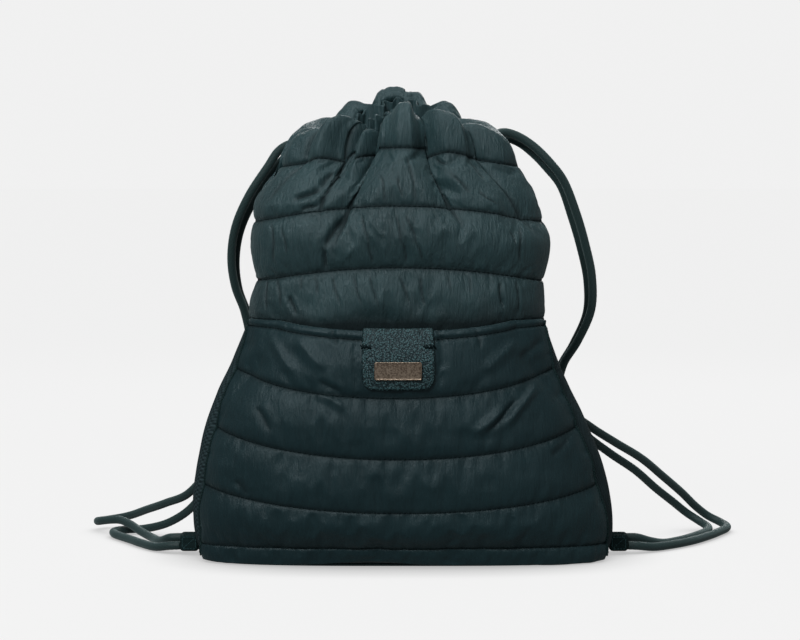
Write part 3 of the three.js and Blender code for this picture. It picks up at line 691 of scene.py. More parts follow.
class Shader:
    """A material's node tree with short calls for its nodes."""

    def __init__(self, name, **values):
        self.material = bpy.data.materials.new(name)
        self.material.use_nodes = True
        self.tree = self.material.node_tree
        self.tree.nodes.clear()
        out = self.tree.nodes.new("ShaderNodeOutputMaterial")
        self.bsdf = self.tree.nodes.new("ShaderNodeBsdfPrincipled")
        self.tree.links.new(self.bsdf.outputs[0], out.inputs[0])
        for key, value in values.items():
            self.bsdf.inputs[key.replace("_", " ")].default_value = value

    def put(self, socket, value):
        if isinstance(value, bpy.types.NodeSocket):
            self.tree.links.new(value, socket)
        elif value is not None:
            socket.default_value = value

    def node(self, kind, inputs=(), output=0, **settings):
        made = self.tree.nodes.new("ShaderNode" + kind)
        for key, value in settings.items():
            setattr(made, key, value)
        for key, value in dict(inputs).items():
            self.put(made.inputs[key], value)
        return made.outputs[output]

    def place(self):
        return self.node("TexCoord", output="Object")

    def math(self, operation, a, b=None):
        return self.node("Math", {0: a, 1: b}, operation=operation)

    def noise(self, scale, detail=3.0, roughness=0.5, vector=None):
        return self.node("TexNoise", {
            "Vector": vector or self.place(), "Scale": scale, "Detail": detail,
            "Roughness": roughness,
        })

    def spread(self, value, low, high, start=0, end=1):
        """The value's range from start to end, carried over to low to high and cut there."""
        return self.node("MapRange", {0: value, 1: start, 2: end, 3: low, 4: high})

    def blend(self, share, a, b):
        a, b = ((*colour, 1) if isinstance(colour, tuple) else colour for colour in (a, b))
        return self.node("Mix", {0: share, 6: a, 7: b}, 2, data_type="RGBA")

    def threads(self, period):
        """Two crossing sets of fine ridges that don't depend on UVs, period in metres."""
        x, y, z = self.node("SeparateXYZ", {0: self.place()}).node.outputs
        across = self.math("ADD", x, y)
        turn = 2 * math.pi / period
        warp = self.math("SINE", self.math("MULTIPLY", across, turn))
        weft = self.math("SINE", self.math("MULTIPLY", z, turn))
        return self.math("MULTIPLY", warp, weft)

    def bump(self, height, distance, strength=1.0, normal=None):
        return self.node("Bump", {
            "Height": height, "Distance": distance, "Strength": strength, "Normal": normal,
        })

    def finish(self, colour=None, roughness=None, normal=None):
        for key, value in (("Base Color", colour), ("Roughness", roughness), ("Normal", normal)):
            self.put(self.bsdf.inputs[key], value)
        return self.material


def satin_nylon(name, dark=(0.0062, 0.0172, 0.0196), light=(0.0155, 0.0395, 0.044), gloss=0.42,
                creasing=0.0021):
    s = Shader(name, Metallic=0.0, Sheen_Weight=0.1, Sheen_Roughness=0.4, Specular_IOR_Level=gloss,
               Anisotropic=0.2, Sheen_Tint=(0.5, 0.78, 0.82, 1), Specular_Tint=(0.78, 0.94, 0.99, 1))
    upright = s.node("Mapping", {"Vector": s.place(), "Scale": (1.0, 1.0, 0.16)})
    crinkle = s.noise(420.0, 4.0, 0.62, upright)
    # broad patches between the dark and light tones: painted sheen of the satin, together with tone that
    # varies at random
    colour = s.blend(s.spread(s.noise(9.0, 4.0, 0.6), 0, 1, 0.3, 0.7), dark, light)
    # painted highlight: lighter streaks along the fine crinkles, where they would catch the light
    colour = s.blend(s.spread(crinkle, 0, 0.35, 0.3, 0.7), colour, tuple(c * 1.5 for c in light))
    # painted shade, read from a per-point attribute: darker in the seam grooves, in the bottoms of folds and
    # creases and above the pocket's mouth
    seam = s.node("Attribute", attribute_name="painted_shade", output="Fac")
    colour = s.blend(s.math("MULTIPLY", seam, 0.88), colour, (0.0015, 0.005, 0.006))
    rough = s.spread(s.noise(60.0, 3.0, 0.7), 0.4, 0.54, 0.2, 0.8)
    # rougher in the painted shade, so that no highlight shows there
    rough = s.math("MAXIMUM", rough, s.math("MULTIPLY", seam, 0.95))
    relief = s.bump(crinkle, creasing, 0.8)
    relief = s.bump(s.noise(220.0, 4.0, 0.65), 0.0004, 0.4, relief)
    return s.finish(colour, rough, s.bump(s.threads(0.0011), 0.00006, 0.6, relief))


def knit(name, dark=(0.005, 0.012, 0.014), light=(0.036, 0.062, 0.069), period=0.0038):
    s = Shader(name, Specular_IOR_Level=0.1)
    cloud = s.noise(30.0)
    height = s.math("ADD", s.math("MULTIPLY", s.threads(period), 0.5), 0.5)
    colour = s.blend(s.math("MULTIPLY", height, s.math("ADD", cloud, 0.25)), dark, light)
    relief = s.bump(s.noise(900.0, 2.0), 0.0002, 0.4, s.bump(height, 0.0006, 0.9))
    return s.finish(colour, s.spread(cloud, 0.75, 0.95), relief)


def pebbled_leather(name):
    s = Shader(name, Specular_IOR_Level=0.34, Specular_Tint=(0.7, 0.92, 1, 1))
    cells = s.node("TexVoronoi", {"Vector": s.place(), "Scale": 600.0, "Randomness": 1.0},
                   output="Distance", feature="F1")
    cloud = s.noise(40.0)
    colour = s.blend(s.spread(cells, 0, 1, 0.2, 0.55), (0.046, 0.098, 0.106), (0.0015, 0.006, 0.007))
    colour = s.blend(s.math("MULTIPLY", cloud, 0.35), colour, (0.007, 0.023, 0.0265))
    relief = s.bump(s.math("SUBTRACT", 1.0, cells), 0.0008, 0.85)
    return s.finish(colour, s.spread(cloud, 0.44, 0.58), s.bump(s.noise(1500.0), 0.0001, 0.4, relief))


def bronze(name):
    s = Shader(name, Metallic=1.0, Anisotropic=0.3)
    drawn = s.node("Mapping", {"Vector": s.place(), "Scale": (60.0, 900.0, 900.0)})
    brushed = s.noise(1.0, 4.0, 0.6, drawn)
    colour = s.blend(s.noise(120.0), (0.26, 0.205, 0.155), (0.43, 0.35, 0.275))
    worn = s.spread(s.noise(700.0, 4.0, 0.65), 0, 0.75, 0.42, 0.6)
    colour = s.blend(worn, colour, (0.085, 0.06, 0.042))
    return s.finish(colour, s.spread(brushed, 0.26, 0.46), s.bump(brushed, 0.00008, 0.35))


def braided(name):
    s = Shader(name, Sheen_Weight=0.25, Sheen_Roughness=0.5, Specular_IOR_Level=0.35,
               Sheen_Tint=(0.5, 0.7, 0.7, 1))
    strand = s.node("Attribute", attribute_name="braid", output="Fac")
    fine = s.noise(1400.0, 2.0)
    colour = s.blend(strand, (0.004, 0.011, 0.012), (0.012, 0.036, 0.036))
    colour = s.blend(s.math("MULTIPLY", s.noise(25.0), 0.4), colour, (0.007, 0.022, 0.023))
    return s.finish(colour, s.spread(fine, 0.5, 0.75), s.bump(fine, 0.00012, 0.6))


def thread(name, colour=(0.022, 0.05, 0.055)):
    s = Shader(name, Specular_IOR_Level=0.15, Specular_Tint=(0.55, 0.9, 1, 1))
    twist = s.noise(2200.0, 2.0)
    shade = s.blend(twist, colour, tuple(c * 1.8 for c in colour))
    return s.finish(shade, s.spread(twist, 0.45, 0.65), s.bump(twist, 0.0001, 0.5))


def plain_floor(name):
    """A floor as light as the backdrop, with a painted contact shadow: its glow is dimmed where something
    stands near it.
    """
    s = Shader(name, Specular_IOR_Level=0.0, Emission_Strength=0.862)
    # painted contact shadow: ambient occlusion dims the floor's glow near the bag
    near = s.node("AmbientOcclusion", {"Distance": 0.07}, output="AO")
    open_air = s.spread(near, 0.55, 1.0, 0.25, 0.9)
    cloud = s.noise(1.5, 2.0)
    s.put(s.bsdf.inputs["Emission Color"], s.blend(open_air, (0, 0, 0), (1, 1, 1)))
    return s.finish(s.blend(cloud, (0.028, 0.028, 0.028), (0.03, 0.03, 0.03)), s.spread(cloud, 0.85, 0.95))


def glow(name, level):
    return Shader(name, Specular_IOR_Level=0.0, Emission_Strength=level, Base_Color=(0, 0, 0, 1),
                  Emission_Color=(1, 1, 1, 1)).material


NYLON = satin_nylon("satin_nylon")
# the pocket's nylon: the same cloth, made darker and less glossy, a painted shade over the whole pocket
SHADED_POCKET_NYLON = satin_nylon("shaded_pocket_nylon", (0.0042, 0.0138, 0.0168), (0.0068, 0.0205, 0.0242), 0.26,
                            0.0009)
LINING = satin_nylon("lining", (0.006, 0.016, 0.018), (0.009, 0.022, 0.024))
KNIT = knit("spacer_knit")
WEBBING = knit("webbing", (0.006, 0.016, 0.017), (0.014, 0.032, 0.033), 0.0016)
LEATHER = pebbled_leather("pebbled_leather")
BRONZE = bronze("bronze")
BRAID = braided("braided_cord")
THREAD = thread("thread")
DARK_THREAD = thread("seam_thread", (0.001, 0.003, 0.0035))


def settle(piece, material, slot, *replaced, fill=None):
    """A finished piece: its material, its body and the nodes it stands for. slot, its slot, is not used;
    fill, how full a padded piece is, is not used."""
    piece.data.materials.clear()
    piece.data.materials.append(material)
    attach(piece, BODY)
    if replaced:
        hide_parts(*replaced)


def ripples(points, size, seed):
    """Small sharp-backed wrinkles."""
    return 1 - 2 * np.abs(noise(points, size, seed))


# The quilted upper panels

def neck_folds(across, up, front, fine):
    """Depth of the fine folds gathered in round the neck, growing towards it."""
    seed = 3 if front else 4
    folds = noise(points_at(across * 9 + 0.35 * np.sin(up * 3), up * 0.35, 0), 1.0, seed)
    folds = np.abs(folds) ** 0.8
    small = np.abs(noise(points_at(across * 20, up * 0.5, 0), 1.0, seed + 9))
    grow = smooth((up - 2.35) / 1.1)
    return fine * grow * (5.5 * (1 - folds) ** 2 + 2.2 * (1 - small) ** 2 - 1.8)


def uneven(grid, seed, height):
    """The grid with slight bumps, so that the cloth doesn't crease evenly."""
    bumps = noise(grid, (17, 17, 23), seed) + 0.6 * noise(grid, (8, 8, 16), seed + 1)
    return grid + normals_of(grid) * (height * bumps)[..., None]


def wrinkled(grid, up, sewn, gathered, seed, wide, small, gather, more):
    """A quilted panel with its small forms, and how near each point is to a cross seam: puckers
    beside the seams, soft waves between them, the seams sunk in. more: other height, mm."""
    near = np.exp(-np.min([np.abs(up - k) for k in sewn], 0) * ROW_HEIGHT / SEAM_SPREAD)
    near = near + 0 * grid[..., 0]
    beside = np.exp(-np.min([np.abs(up - k) for k in gathered], 0) * 8)
    pucker = (ripples(grid, (4, 6, 17), seed) + 0.8 * ripples(grid, (9, 9, 24), seed + 3)) * beside
    drift = noise(grid, wide, seed + 1) + 0.5 * noise(grid, small, seed + 2)
    body = np.sin(np.pi * clamp01(up % 1)) ** 0.5
    grid = grid + normals_of(grid) * (gather * pucker + 0.9 * drift * body + more)[..., None]
    return grid - normals_of(grid) * (0.9 * near)[..., None], near


def upper_panel(front):
    word = "upper_front" if front else "upper_back"
    columns = 168 if front else 132
    up, seams = rows_between(FRONT_CELLS if front else BACK_CELLS)
    up = up[:, None]
    turn = panel_turn(front, np.linspace(0, 1, columns + 1)[None])
    across = facing(turn, section(POCKET_HEIGHT)[4])[0]
    extra = neck_folds(across, up, front, 0.14 if front else 0.5)
    rounded = np.sin(np.pi * clamp01((up - 3) / 0.85)) ** 0.5
    puff = QUILT_PUFF * np.where(up < 3, PUFF_SHARE * pillow(up % 1), NECK_PUFF * rounded)
    puff = puff * np.where((up > 2) & (up < 3), 0.75, 1)
    base = upper_point(front, turn, up, puff + UPPER_FILL, extra)
    pin = np.zeros(base.shape[:2])
    pin[seams] = 1
    pin[:, [0, -1]] = 1
    pin[seams[3]:] = 0.8
    pin[-6:] = 1
    grid = swell_cloth(uneven(base, 61, 0.7), pin, pressure=0.8, grow=0.018, bend=1.5)
    grid = upsample(upsample(grid, 0), 1)
    up = upsample(up, 0)
    grid, lines = creased(grid, UPPER_CREASES if front else [])
    slit = slits(upsample(across, 1), grid[..., 2], front) * clamp01((3.8 - up) * 3)
    grid, near = wrinkled(grid, up, sewn=(1, 2, 3), gathered=(1, 2, 3), seed=11, wide=(34, 34, 22),
                          small=(15, 15, 11), gather=0.3, more=-2.2 * slit)
    # painted shadow above the pocket's mouth, where this row tucks in behind it: darkest at the mouth's edge
    # and fading upwards
    above_mouth = np.maximum(0, grid[..., 2] - POCKET_HEIGHT + MOUTH_SAG)
    mouth_shadow = clamp01(2.2 * np.exp(-above_mouth / (8.5 + 3 * noise(grid, (16, 40, 40), 21))))
    # painted shade for the colour: the seam grooves, the neck fold slits, the creases and, on the front, the
    # shadow above the pocket's mouth
    near = np.max([near, 0.95 * slit, lines, mouth_shadow * front], 0)
    inner_turn = panel_turn(front, np.linspace(0, 1, 141)[None])
    inner = upper_point(front, inner_turn, np.linspace(0, 4, 33)[:, None], -CLOTH_WALL - 1)
    settle(shell(word + "_quilt", grid, inner, {"painted_shade": near}), NYLON, "quilt", word + "_panel",
           fill=0.6)
    settle(stitches(word + "_stitches", lines_on(grid, *(2 * seams[1:4]))), DARK_THREAD, "quilt")


# The quilted pocket

def front_pocket():
    up, seams = rows_between(POCKET_CELLS)
    up = up[:, None]
    v = np.linspace(-1, 1, 161)[None]
    full = pocket_point(v, up, CLOTH_WALL + pocket_puff(up) - 0.4)
    hem = 1 - clamp01(up)
    slack = pocket_point(v, up, CLOTH_WALL + 0.8 + POCKET_SHARE * pocket_puff(up) + HEM_OUT * hem)
    tab = under_tab(full)
    base = mix(slack, full, tab[..., None])
    base[..., 2] += (hem_lift(base) - LOWER_START) * hem
    pin = np.broadcast_to(tab, base.shape[:2]).copy()
    pin[seams] = 1
    pin[:, [0, -1]] = 1
    grid = swell_cloth(uneven(base, 72, 0.7), pin, pressure=0.45, grow=0.008, bend=2.5)
    grid = upsample(upsample(grid, 0), 1)
    grid, lines = creased(grid, POCKET_CREASES)
    up = upsample(up, 0)
    below = (up - HEM_ROW) * ROW_HEIGHT
    groove = np.exp(-(below / 1.3) ** 2)
    rolled = np.exp(-((below - 3.2) / 2.2) ** 2)
    grid, near = wrinkled(grid, up, sewn=(1, 2, 3, 4), gathered=(1, 2, 3, 4, 5), seed=21,
                          wide=(38, 38, 20), small=(16, 16, 10), gather=0.2,
                          more=-1.4 * groove + 1.1 * rolled)
    inner = pocket_point(np.linspace(-1, 1, 57)[None], np.linspace(0, 5, 41)[:, None], 0)
    # painted shade for the colour: the seam grooves, the creases and the groove along the hem's stitching
    near = np.max([near, 0.6 * lines, 0.85 * groove + 0 * near], 0)
    settle(shell("front_pocket_quilt", grid, inner, {"painted_shade": near}), SHADED_POCKET_NYLON, "quilt",
           "front_pocket", fill=0.6)
    hem = np.argmin(np.abs(up[:, 0] - HEM_ROW))
    settle(stitches("pocket_stitches", lines_on(grid, *(2 * seams[1:5]), hem)), DARK_THREAD, "quilt")
    welt("pocket_side_welts", lines_on(grid, np.s_[4:-2, 0], np.s_[4:-2, -1]), 1.1)


def plain_panel(name, place, swell, rows, columns, node, seed, side=1):
    """A knitted panel with soft unevenness, closed by its own back."""
    i, j = np.meshgrid(np.linspace(0, 1, columns + 1), np.linspace(0, 1, rows + 1))
    grid = place(i, j, CLOTH_WALL / 2 + swell(i, j))
    edge = pillow(i) ** 0.4 * pillow(j) ** 0.4
    bumps = noise(grid, (40, 30, 34), seed) + 0.4 * noise(grid, (14, 12, 16), seed + 1)
    grid = grid + normals_of(grid) * side * (0.7 * bumps * edge - 0.5)[..., None]
    inner = place(i[::4, ::4], j[::4, ::4], -CLOTH_WALL)
    if side < 0:
        grid, inner = grid[:, ::-1], inner[:, ::-1]
    settle(shell(name, grid, inner), KNIT, "knit", node, fill=0.4)
    return grid


def welt(name, lines, radius, bead=0.16, pitch=2.6):
    """Overlocked edging along sewn edges: a thin beaded tube on each line of (points, normals)."""
    parts = []
    for points, normals in lines:
        path = even_path(points + normals * (0.25 * radius), WELT_STEP)[0]
        beads = np.sin(np.arange(len(path)) * WELT_STEP * 2 * math.pi / pitch)[:, None]
        parts.append(tube(path, radius, 8, lambda path, angle: 1 + bead * beads + 0 * angle)[:2])
    settle(joined(name, parts), WEBBING, "knit")


def lower_back():
    grid = plain_panel("back_panel_knit", back_point, back_swell, 88, 112, "lower_back_panel", 31)
    edges = lines_on(grid, np.s_[1:-1, 0], np.s_[1:-1, -1], np.s_[-1, 1:-1])
    welt("back_panel_welts", edges, 1.5)


def side_panel(side, word):
    place = lambda i, j, out: gusset_point(side, i, mix(LOWER_START, POCKET_HEIGHT, j), out)
    swell = lambda i, j: gusset_swell(i, mix(LOWER_START, POCKET_HEIGHT, j))
    node = "gusset_" + word
    plain_panel(node + "_knit", place, swell, 120, 40, node, 41 + side, side)


def ruffled_collar():
    """A pleated band standing inside the neck, all the way round."""
    share = np.arange(620)[None] / 620
    along = np.linspace(0, 1, 17)[:, None]
    front = share <= FRONT_SHARE
    part = np.where(front, share / FRONT_SHARE, (share - FRONT_SHARE) / (1 - FRONT_SHARE))
    turn = np.where(front, panel_turn(True, part), panel_turn(False, part))
    ahead, behind = (upper_point(face, turn, 4 + 0 * turn, -CLOTH_WALL) for face in (True, False))
    neck = np.where(front[..., None], ahead, behind)
    lean = section(neck[..., 2])[1]
    reach = np.hypot(neck[..., 0] - lean, neck[..., 1] - CENTRE_Y)
    drift = noise(points_at(share * 30, 0, 0), 1.0, 51)
    fold = 1 - np.cos(2 * math.pi * share * COLLAR_FOLDS + 1.6 * drift)
    rough = noise(points_at(share * 60, along * 2, 0), 1.0, 52)
    top = crest_height(turn) - COLLAR_BELOW + 2.2 * rough * along - 1.5 * fold * along

    def sheet(inset):
        deep = COLLAR_RUFFLE * 0.55 * fold * (0.5 + 0.5 * along) + 0 * along
        inward = (reach - GAP - inset - deep) / reach
        x, y = mix(lean, neck[..., 0], inward), mix(CENTRE_Y, neck[..., 1], inward)
        return points_at(x, y, mix(neck[..., 2] - COLLAR_DIP, top, along))

    piece = ring_shell("ruffled_collar", sheet(0), sheet(COLLAR_WALL * 0.6))
    settle(piece, NYLON, "quilt", "drawstring_collar", fill=0.2)


# Leather tab

def tab_point(x, drop, side, off):
    """Point on the pocket below its mouth's edge, on the outside or inside, moved off it. x is
    counted from the tab's middle."""
    def place(z):
        half, lean = section(z)[:2]
        reach = half + room_at(0, z) + CLOTH_WALL
        return (TAB_CENTRE + x - lean) / (reach * read(GUSSET_SEAMS, 1, z / POCKET_HEIGHT))
    edge = pocket_seam(5, place(POCKET_HEIGHT + 0 * x))
    z = edge - drop
    v = place(z)
    up = np.clip(pocket_row(v, z), 0, 5)
    out = np.where(side > 0, CLOTH_WALL + pocket_puff(up) + off, -off)
    point = body_point(turn_at(pocket_across(v, z), z), z, room_at(v, z) + out)
    point[..., 2] = np.where(drop == 0, point[..., 2] + off, point[..., 2])
    return point


def tab_outline(t):
    """Half width at a distance up from the tab's lower end."""
    low = np.clip(t, 0, TAB_CORNER)
    return TAB_WIDTH / 2 - (TAB_CORNER - np.sqrt(TAB_CORNER ** 2 - (TAB_CORNER - low) ** 2))


def leather_tab():
    """The tab's leather, with its edge rounded off: down the outside, over the mouth's edge and
    a little way down inside."""
    curve = TAB_CORNER * (1 - np.cos(np.linspace(0, math.pi / 2, 10)))
    outside = TAB_HEIGHT - np.concatenate([curve, np.linspace(TAB_CORNER + 0.8, TAB_HEIGHT, 46)])
    drop = np.concatenate([outside, [0], np.linspace(1.2, TAB_INSIDE, 6)])
    side = np.concatenate([np.ones(len(outside)), -np.ones(7)])
    across = np.linspace(-1, 1, 61)[None]
    up_from_end = TAB_HEIGHT - drop
    half = np.where(side > 0, tab_outline(up_from_end), TAB_WIDTH / 2)[:, None]
    x = across * half
    outer, inner = (tab_point(x, drop[:, None] + 0 * x, side[:, None] + 0 * x, off) - (0, GAP / 2, 0)
                    for off in (TAB_CLEAR + TAB_WALL, TAB_CLEAR))
    rim = np.minimum((1 - np.abs(across)) * half, np.maximum(up_from_end, 0)[:, None])
    rim = np.where(side[:, None] > 0, rim, 5)
    outer = mix(outer, inner, (0.75 * clamp01(1 - rim / 1.6) ** 2)[..., None])
    settle(shell("leather_tab_grain", outer, inner), LEATHER, "leather", "leather_tab", fill=0.1)
    return outer, x, drop, side


def tab_details(grid, x, drop, side):
    """Stitches along the tab's edge and a bar tack at each side, on the tab's own surface."""
    normal = normals_of(grid)
    outside = np.flatnonzero(side > 0)
    columns = np.arange(x.shape[1])
    rows = [row for row in outside[::-1] if TAB_HEIGHT - drop[row] > STITCH_INSET]
    tack_row = outside[np.argmin(np.abs(drop[outside] - TACK_DROP))]
    edge = x[tack_row, -1]
    lines, tacks = [], []
    for sign in (-1, 1):
        places = [(row, np.interp(sign * (x[row, -1] - STITCH_INSET), x[row], columns)) for row in rows]
        points = [mix(grid[row, int(at)], grid[row, int(at) + 1], at % 1) for row, at in places]
        lines.append((np.array(points), np.array([normal[row, int(at)] for row, at in places])))
        for step in range(TACK_STITCHES):
            reach = edge + 0.2 - step * TACK_STEP
            at = int(np.interp(sign * reach, x[tack_row], columns))
            middle = grid[tack_row, at] + np.array([sign * max(0, reach - edge), 0, 0])
            lean = 0.9 if step % 2 else -0.9
            path = middle + np.array([[-lean, 0.2, -1.5], [-0.6 * lean, -0.8, -0.8],
                                      [0.6 * lean, -0.8, 0.8], [lean, 0.2, 1.5]])
            tacks.append(tube(path, TACK_RADIUS, 6)[:2])
    low = np.flatnonzero(np.abs(drop - (TAB_HEIGHT - STITCH_INSET)) < 1.2)[0]
    inner = np.abs(x[low]) < x[low, -1] - STITCH_INSET
    lines.append((grid[low][inner], normal[low][inner]))
    settle(stitches("tab_stitches", lines, 2.4, 1.2, 0.38, 0.15), THREAD, "leather")
    settle(joined("tab_bar_tacks", tacks), DARK_THREAD, "leather")


def rounded_loop(width, height, corner, steps=6):
    """Points round a rectangle with round corners, steps of them at each."""
    loop = []
    for turn, (sx, sz) in enumerate(((1, 1), (-1, 1), (-1, -1), (1, -1))):
        for k in range(steps + 1):
            a = (turn + k / steps) * math.pi / 2
            loop.append((sx * (width / 2 - corner) + corner * math.cos(a),
                         sz * (height / 2 - corner) + corner * math.sin(a)))
    return loop


def bare_plate():
    """Metal plate with a rounded raised border round a plain sunken field."""
    local = np.array([
        [(x, z, rise) for x, z in rounded_loop(PLATE_WIDTH - 2 * inset, PLATE_HEIGHT - 2 * inset,
                                               max(0.35, PLATE_CORNER - inset))]
        for inset, rise in PLATE_PROFILE
    ])
    middle = TAB_HEIGHT - PLATE_RISE - PLATE_HEIGHT / 2
    drops = middle + np.array([1, -1, 0]) * PLATE_HEIGHT / 2
    low, high, centre = tab_point(np.zeros(3), drops, np.ones(3), TAB_CLEAR + TAB_WALL)
    up = np.array([0, high[1] - low[1], high[2] - low[2]])
    up /= np.linalg.norm(up)
    axes = np.array([(1, 0, 0), up, np.cross((1, 0, 0), up)])
    points = (TAB_CENTRE, centre[1] - 1.5 * GAP, centre[2]) + local @ axes
    piece = mesh_object("bare_plate", points.reshape(-1, 3), capped_faces(*local.shape[:2]))
    piece.data.polygons[-1].use_smooth = False
    settle(piece, BRONZE, "plate", "name_plate")


def base_cloth():
    """The bag's floor: stiffened cloth with a turned edge, a little uneven underneath."""
    turn = np.linspace(0, 2 * math.pi, 181)[:-1][None]
    inward = np.array([0, 0.002, 0.006, 0.012, 0.03, 0.1, 0.25, 0.45, 0.65, 0.85, 0.999])[:, None]
    rim = body_point(turn, 0 * turn, CLOTH_WALL / 2)
    under = mix(rim, np.array([0, CENTRE_Y, 0]), inward[..., None])
    lifted = 0.5 + 0.5 * noise(under, (30, 24, 20), 91)
    turned = BASE_TURN * (1 - smooth(inward / 0.01))
    over = under.copy()
    under[..., 2] = 0.35 * lifted * smooth(inward * 12) + turned
    over[..., 2] = CLOTH_WALL - 0.2 - turned
    settle(ring_shell("base_cloth", over, under), LINING, "knit", "base_panel", fill=0.1)


def inner_front():
    """The bag's plain front wall behind the pocket, slack between its seams."""
    v = np.linspace(-1, 1, 97)[None]
    share = np.linspace(0, 1, 57)[:, None]
    z = mix(LOWER_START, POCKET_HEIGHT - MOUTH_TUCK * mouth_shape(v), share)
    turn = turn_at(pocket_across(v, z), z)
    grid, inner = (body_point(turn, z, -GAP / 2 - wall) for wall in (0, CLOTH_WALL))
    wave = noise(grid, (30, 30, 26), 95) + 0.5 * noise(grid, (11, 11, 14), 96)
    slack = (0.5 * wave - 0.4) * pillow(share) * pillow((v + 1) / 2)
    grid = grid + normals_of(grid) * slack[..., None]
    settle(shell("front_wall_cloth", grid, inner), LINING, "lining", "front_wall", fill=0.1)


def webbing_tab(node):
    """A short folded length of webbing that holds two cords, with a sewn box on it."""
    low, high = (np.array(corner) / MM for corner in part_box(node))
    middle, half = (low + high) / 2, (high - low) / 2
    tall = np.linspace(-1, 1, 15)[:, None]
    across, along = facing(np.linspace(0, 2 * math.pi, 65)[:-1][None], 7.0)
    bulge = 1 - 0.05 * tall ** 2 - 0.16 * smooth((np.abs(tall) - 0.82) / 0.18)
    bulge = bulge * (1 - 0.035 * np.exp(-(tall / 0.06) ** 2))
    ring = middle + half * points_at(across * bulge, along * bulge, tall)
    side = node.rsplit("_", 1)[1]
    piece = ring_shell("webbing_tab_" + side, ring, mix(middle, ring, 0.55))
    settle(piece, WEBBING, "knit", node, fill=0.3)
    box = 0.7 * np.array([(-1, -1), (1, -1), (1, 1), (-1, 1), (-1, -1), (1, 1)])
    path = middle + half * np.column_stack([box[:, 0], np.full(6, -0.985), box[:, 1]])
    lines = [(path[k:k + 2], np.array([[0, -1, 0]] * 2)) for k in range(5)]
    settle(stitches("webbing_stitches_" + side, lines, 2.0, 0.8, 0.3, 0.1), THREAD, "knit")


def catmull(points, steps):
    """A centripetal curve through the points, with that many steps from each to the next."""
    p = np.asarray(points, float)
    p = np.concatenate([[2 * p[0] - p[1]], p, [2 * p[-1] - p[-2]]])
    knots = np.append(0, np.cumsum(np.linalg.norm(np.diff(p, axis=0), axis=1) ** 0.5))
    out = []
    for k in range(1, len(p) - 2):
        t = np.linspace(knots[k], knots[k + 1], steps, endpoint=k == len(p) - 3)[:, None]
        level, u = p[k - 1: k + 3], knots[k - 1: k + 3]
        for spans in (((0, 1), (1, 2), (2, 3)), ((0, 2), (1, 3)), ((1, 2),)):
            level = [((u[b] - t) * level[i] + (t - u[a]) * level[i + 1]) / (u[b] - u[a])
                     for i, (a, b) in enumerate(spans)]
        out.append(level[0])
    return np.concatenate(out)


def along_line(points):
    """Length of a line of points up to each of them."""
    return np.append(0, np.cumsum(np.linalg.norm(np.diff(points, axis=0), axis=1)))


def values_at(s, along, values):
    return np.stack([np.interp(s, along, values[:, k]) for k in range(3)], -1)


def even_path(points, spacing):
    """The line in steps of about that length, and its whole length."""
    along = along_line(points)
    s = np.linspace(0, along[-1], int(along[-1] / spacing) + 1)
    return values_at(s, along, points), along[-1]


def carrying_cord(node):
    """A round cord along its route with eight strands braided in."""
    path, length = even_path(catmull(CORD_ROUTES[node], 24), 1.1)
    twist = np.linspace(0, length / BRAID_PITCH * 2 * math.pi, len(path))[:, None]

    def relief(path, angle):
        one, two = (np.cos(angle * BRAID_STRANDS + way * twist * BRAID_STRANDS / 4) for way in (-1, 1))
        return 0.975 + 0.03 * np.maximum(one, two)

    points, faces, height = tube(path, CORD_DIAMETER / 2, 32, relief)
    level = (height - height.min()) / (height.max() - height.min())
    piece = mesh_object(node.replace("cord_", "braided_cord_"), points, faces, {"braid": level})
    settle(piece, BRAID, "cord", node)
    sparse = path[::6]
    if len(path) % 6 != 1:
        sparse = np.concatenate([sparse, path[-1:]])


upper_panel(True)
upper_panel(False)
front_pocket()
lower_back()
side_panel(-1, "left")
side_panel(1, "right")
ruffled_collar()
tab_details(*leather_tab())
bare_plate()
base_cloth()
inner_front()
webbing_tab("cord_anchor_left")
webbing_tab("cord_anchor_right")
for cord_node in CORD_ROUTES:
    carrying_cord(cord_node)


# Surroundings: a pale floor and dome, which don't light the bag, and soft lights that do

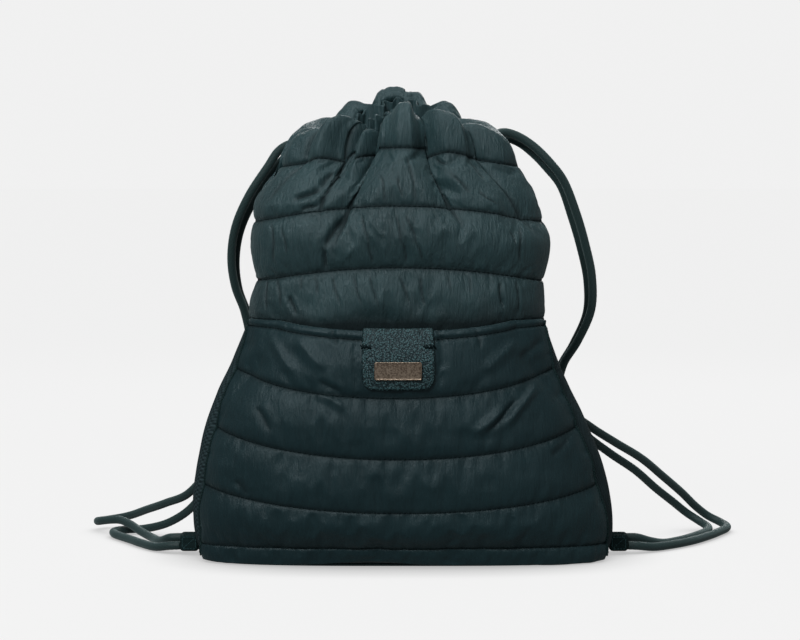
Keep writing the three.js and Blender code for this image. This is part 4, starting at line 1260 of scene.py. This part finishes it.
def ring_points(radius, z, count):
    turns = np.arange(count) * 2 * math.pi / count
    return [(radius * math.cos(t), radius * math.sin(t), z) for t in turns]


def backdrop(name, points, faces, material):
    mesh = bpy.data.meshes.new(name)
    mesh.from_pydata(points, [], faces)
    mesh.materials.append(material)
    piece = link(name, mesh)
    piece.visible_diffuse = piece.visible_glossy = False
    return piece


def area_light(name, at, height, size, power):
    """A soft rectangular lamp that looks at the bag's middle at that height."""
    data = bpy.data.lights.new(name, "AREA")
    data.shape = "RECTANGLE"
    data.size, data.size_y = size
    data.energy = power
    lamp = link(name, data)
    lamp.location = at
    lamp.rotation_euler = (Vector((0, 0, height)) - Vector(at)).to_track_quat("-Z", "Y").to_euler()


backdrop("floor", ring_points(FLOOR_RADIUS, 0, 64), [tuple(range(64))], plain_floor("pale_floor"))
dome_points = [
    point for tilt in np.linspace(0, math.pi / 2 - 0.02, 12)
    for point in ring_points(FLOOR_RADIUS * math.cos(tilt), FLOOR_RADIUS * math.sin(tilt) - 0.01, 48)
]
dome = backdrop("dome", dome_points, grid_faces(wrapped(12, 48)), glow("pale_backdrop", BACKDROP))
dome.visible_shadow = False
area_light("key_light", (-0.75, -1.6, 1.45), 0.24, (0.55, 0.5), 33)
area_light("fill_light", (1.0, -1.9, 0.5), 0.2, (1.1, 0.7), 3.2)
area_light("top_light", (0.05, 0.0, 1.7), 0.3, (1.0, 0.8), 10)
area_light("back_light", (0.2, 1.9, 1.3), 0.2, (1.2, 0.9), 18)

camera = link("camera", bpy.data.cameras.new("camera"))
camera.data.lens, camera.data.sensor_width = CAMERA_LENS, 36
camera.location = CAMERA_AT
camera.rotation_euler = (math.pi / 2 - CAMERA_PITCH, 0, 0)
bpy.context.scene.camera = camera

world = bpy.data.worlds.new("studio")
world.use_nodes = True
sky = world.node_tree.nodes["Background"].inputs
sky[0].default_value = (1, 1, 1, 1)
sky[1].default_value = 0.2
bpy.context.scene.world = world
bpy.context.scene.view_settings.view_transform = "Standard"
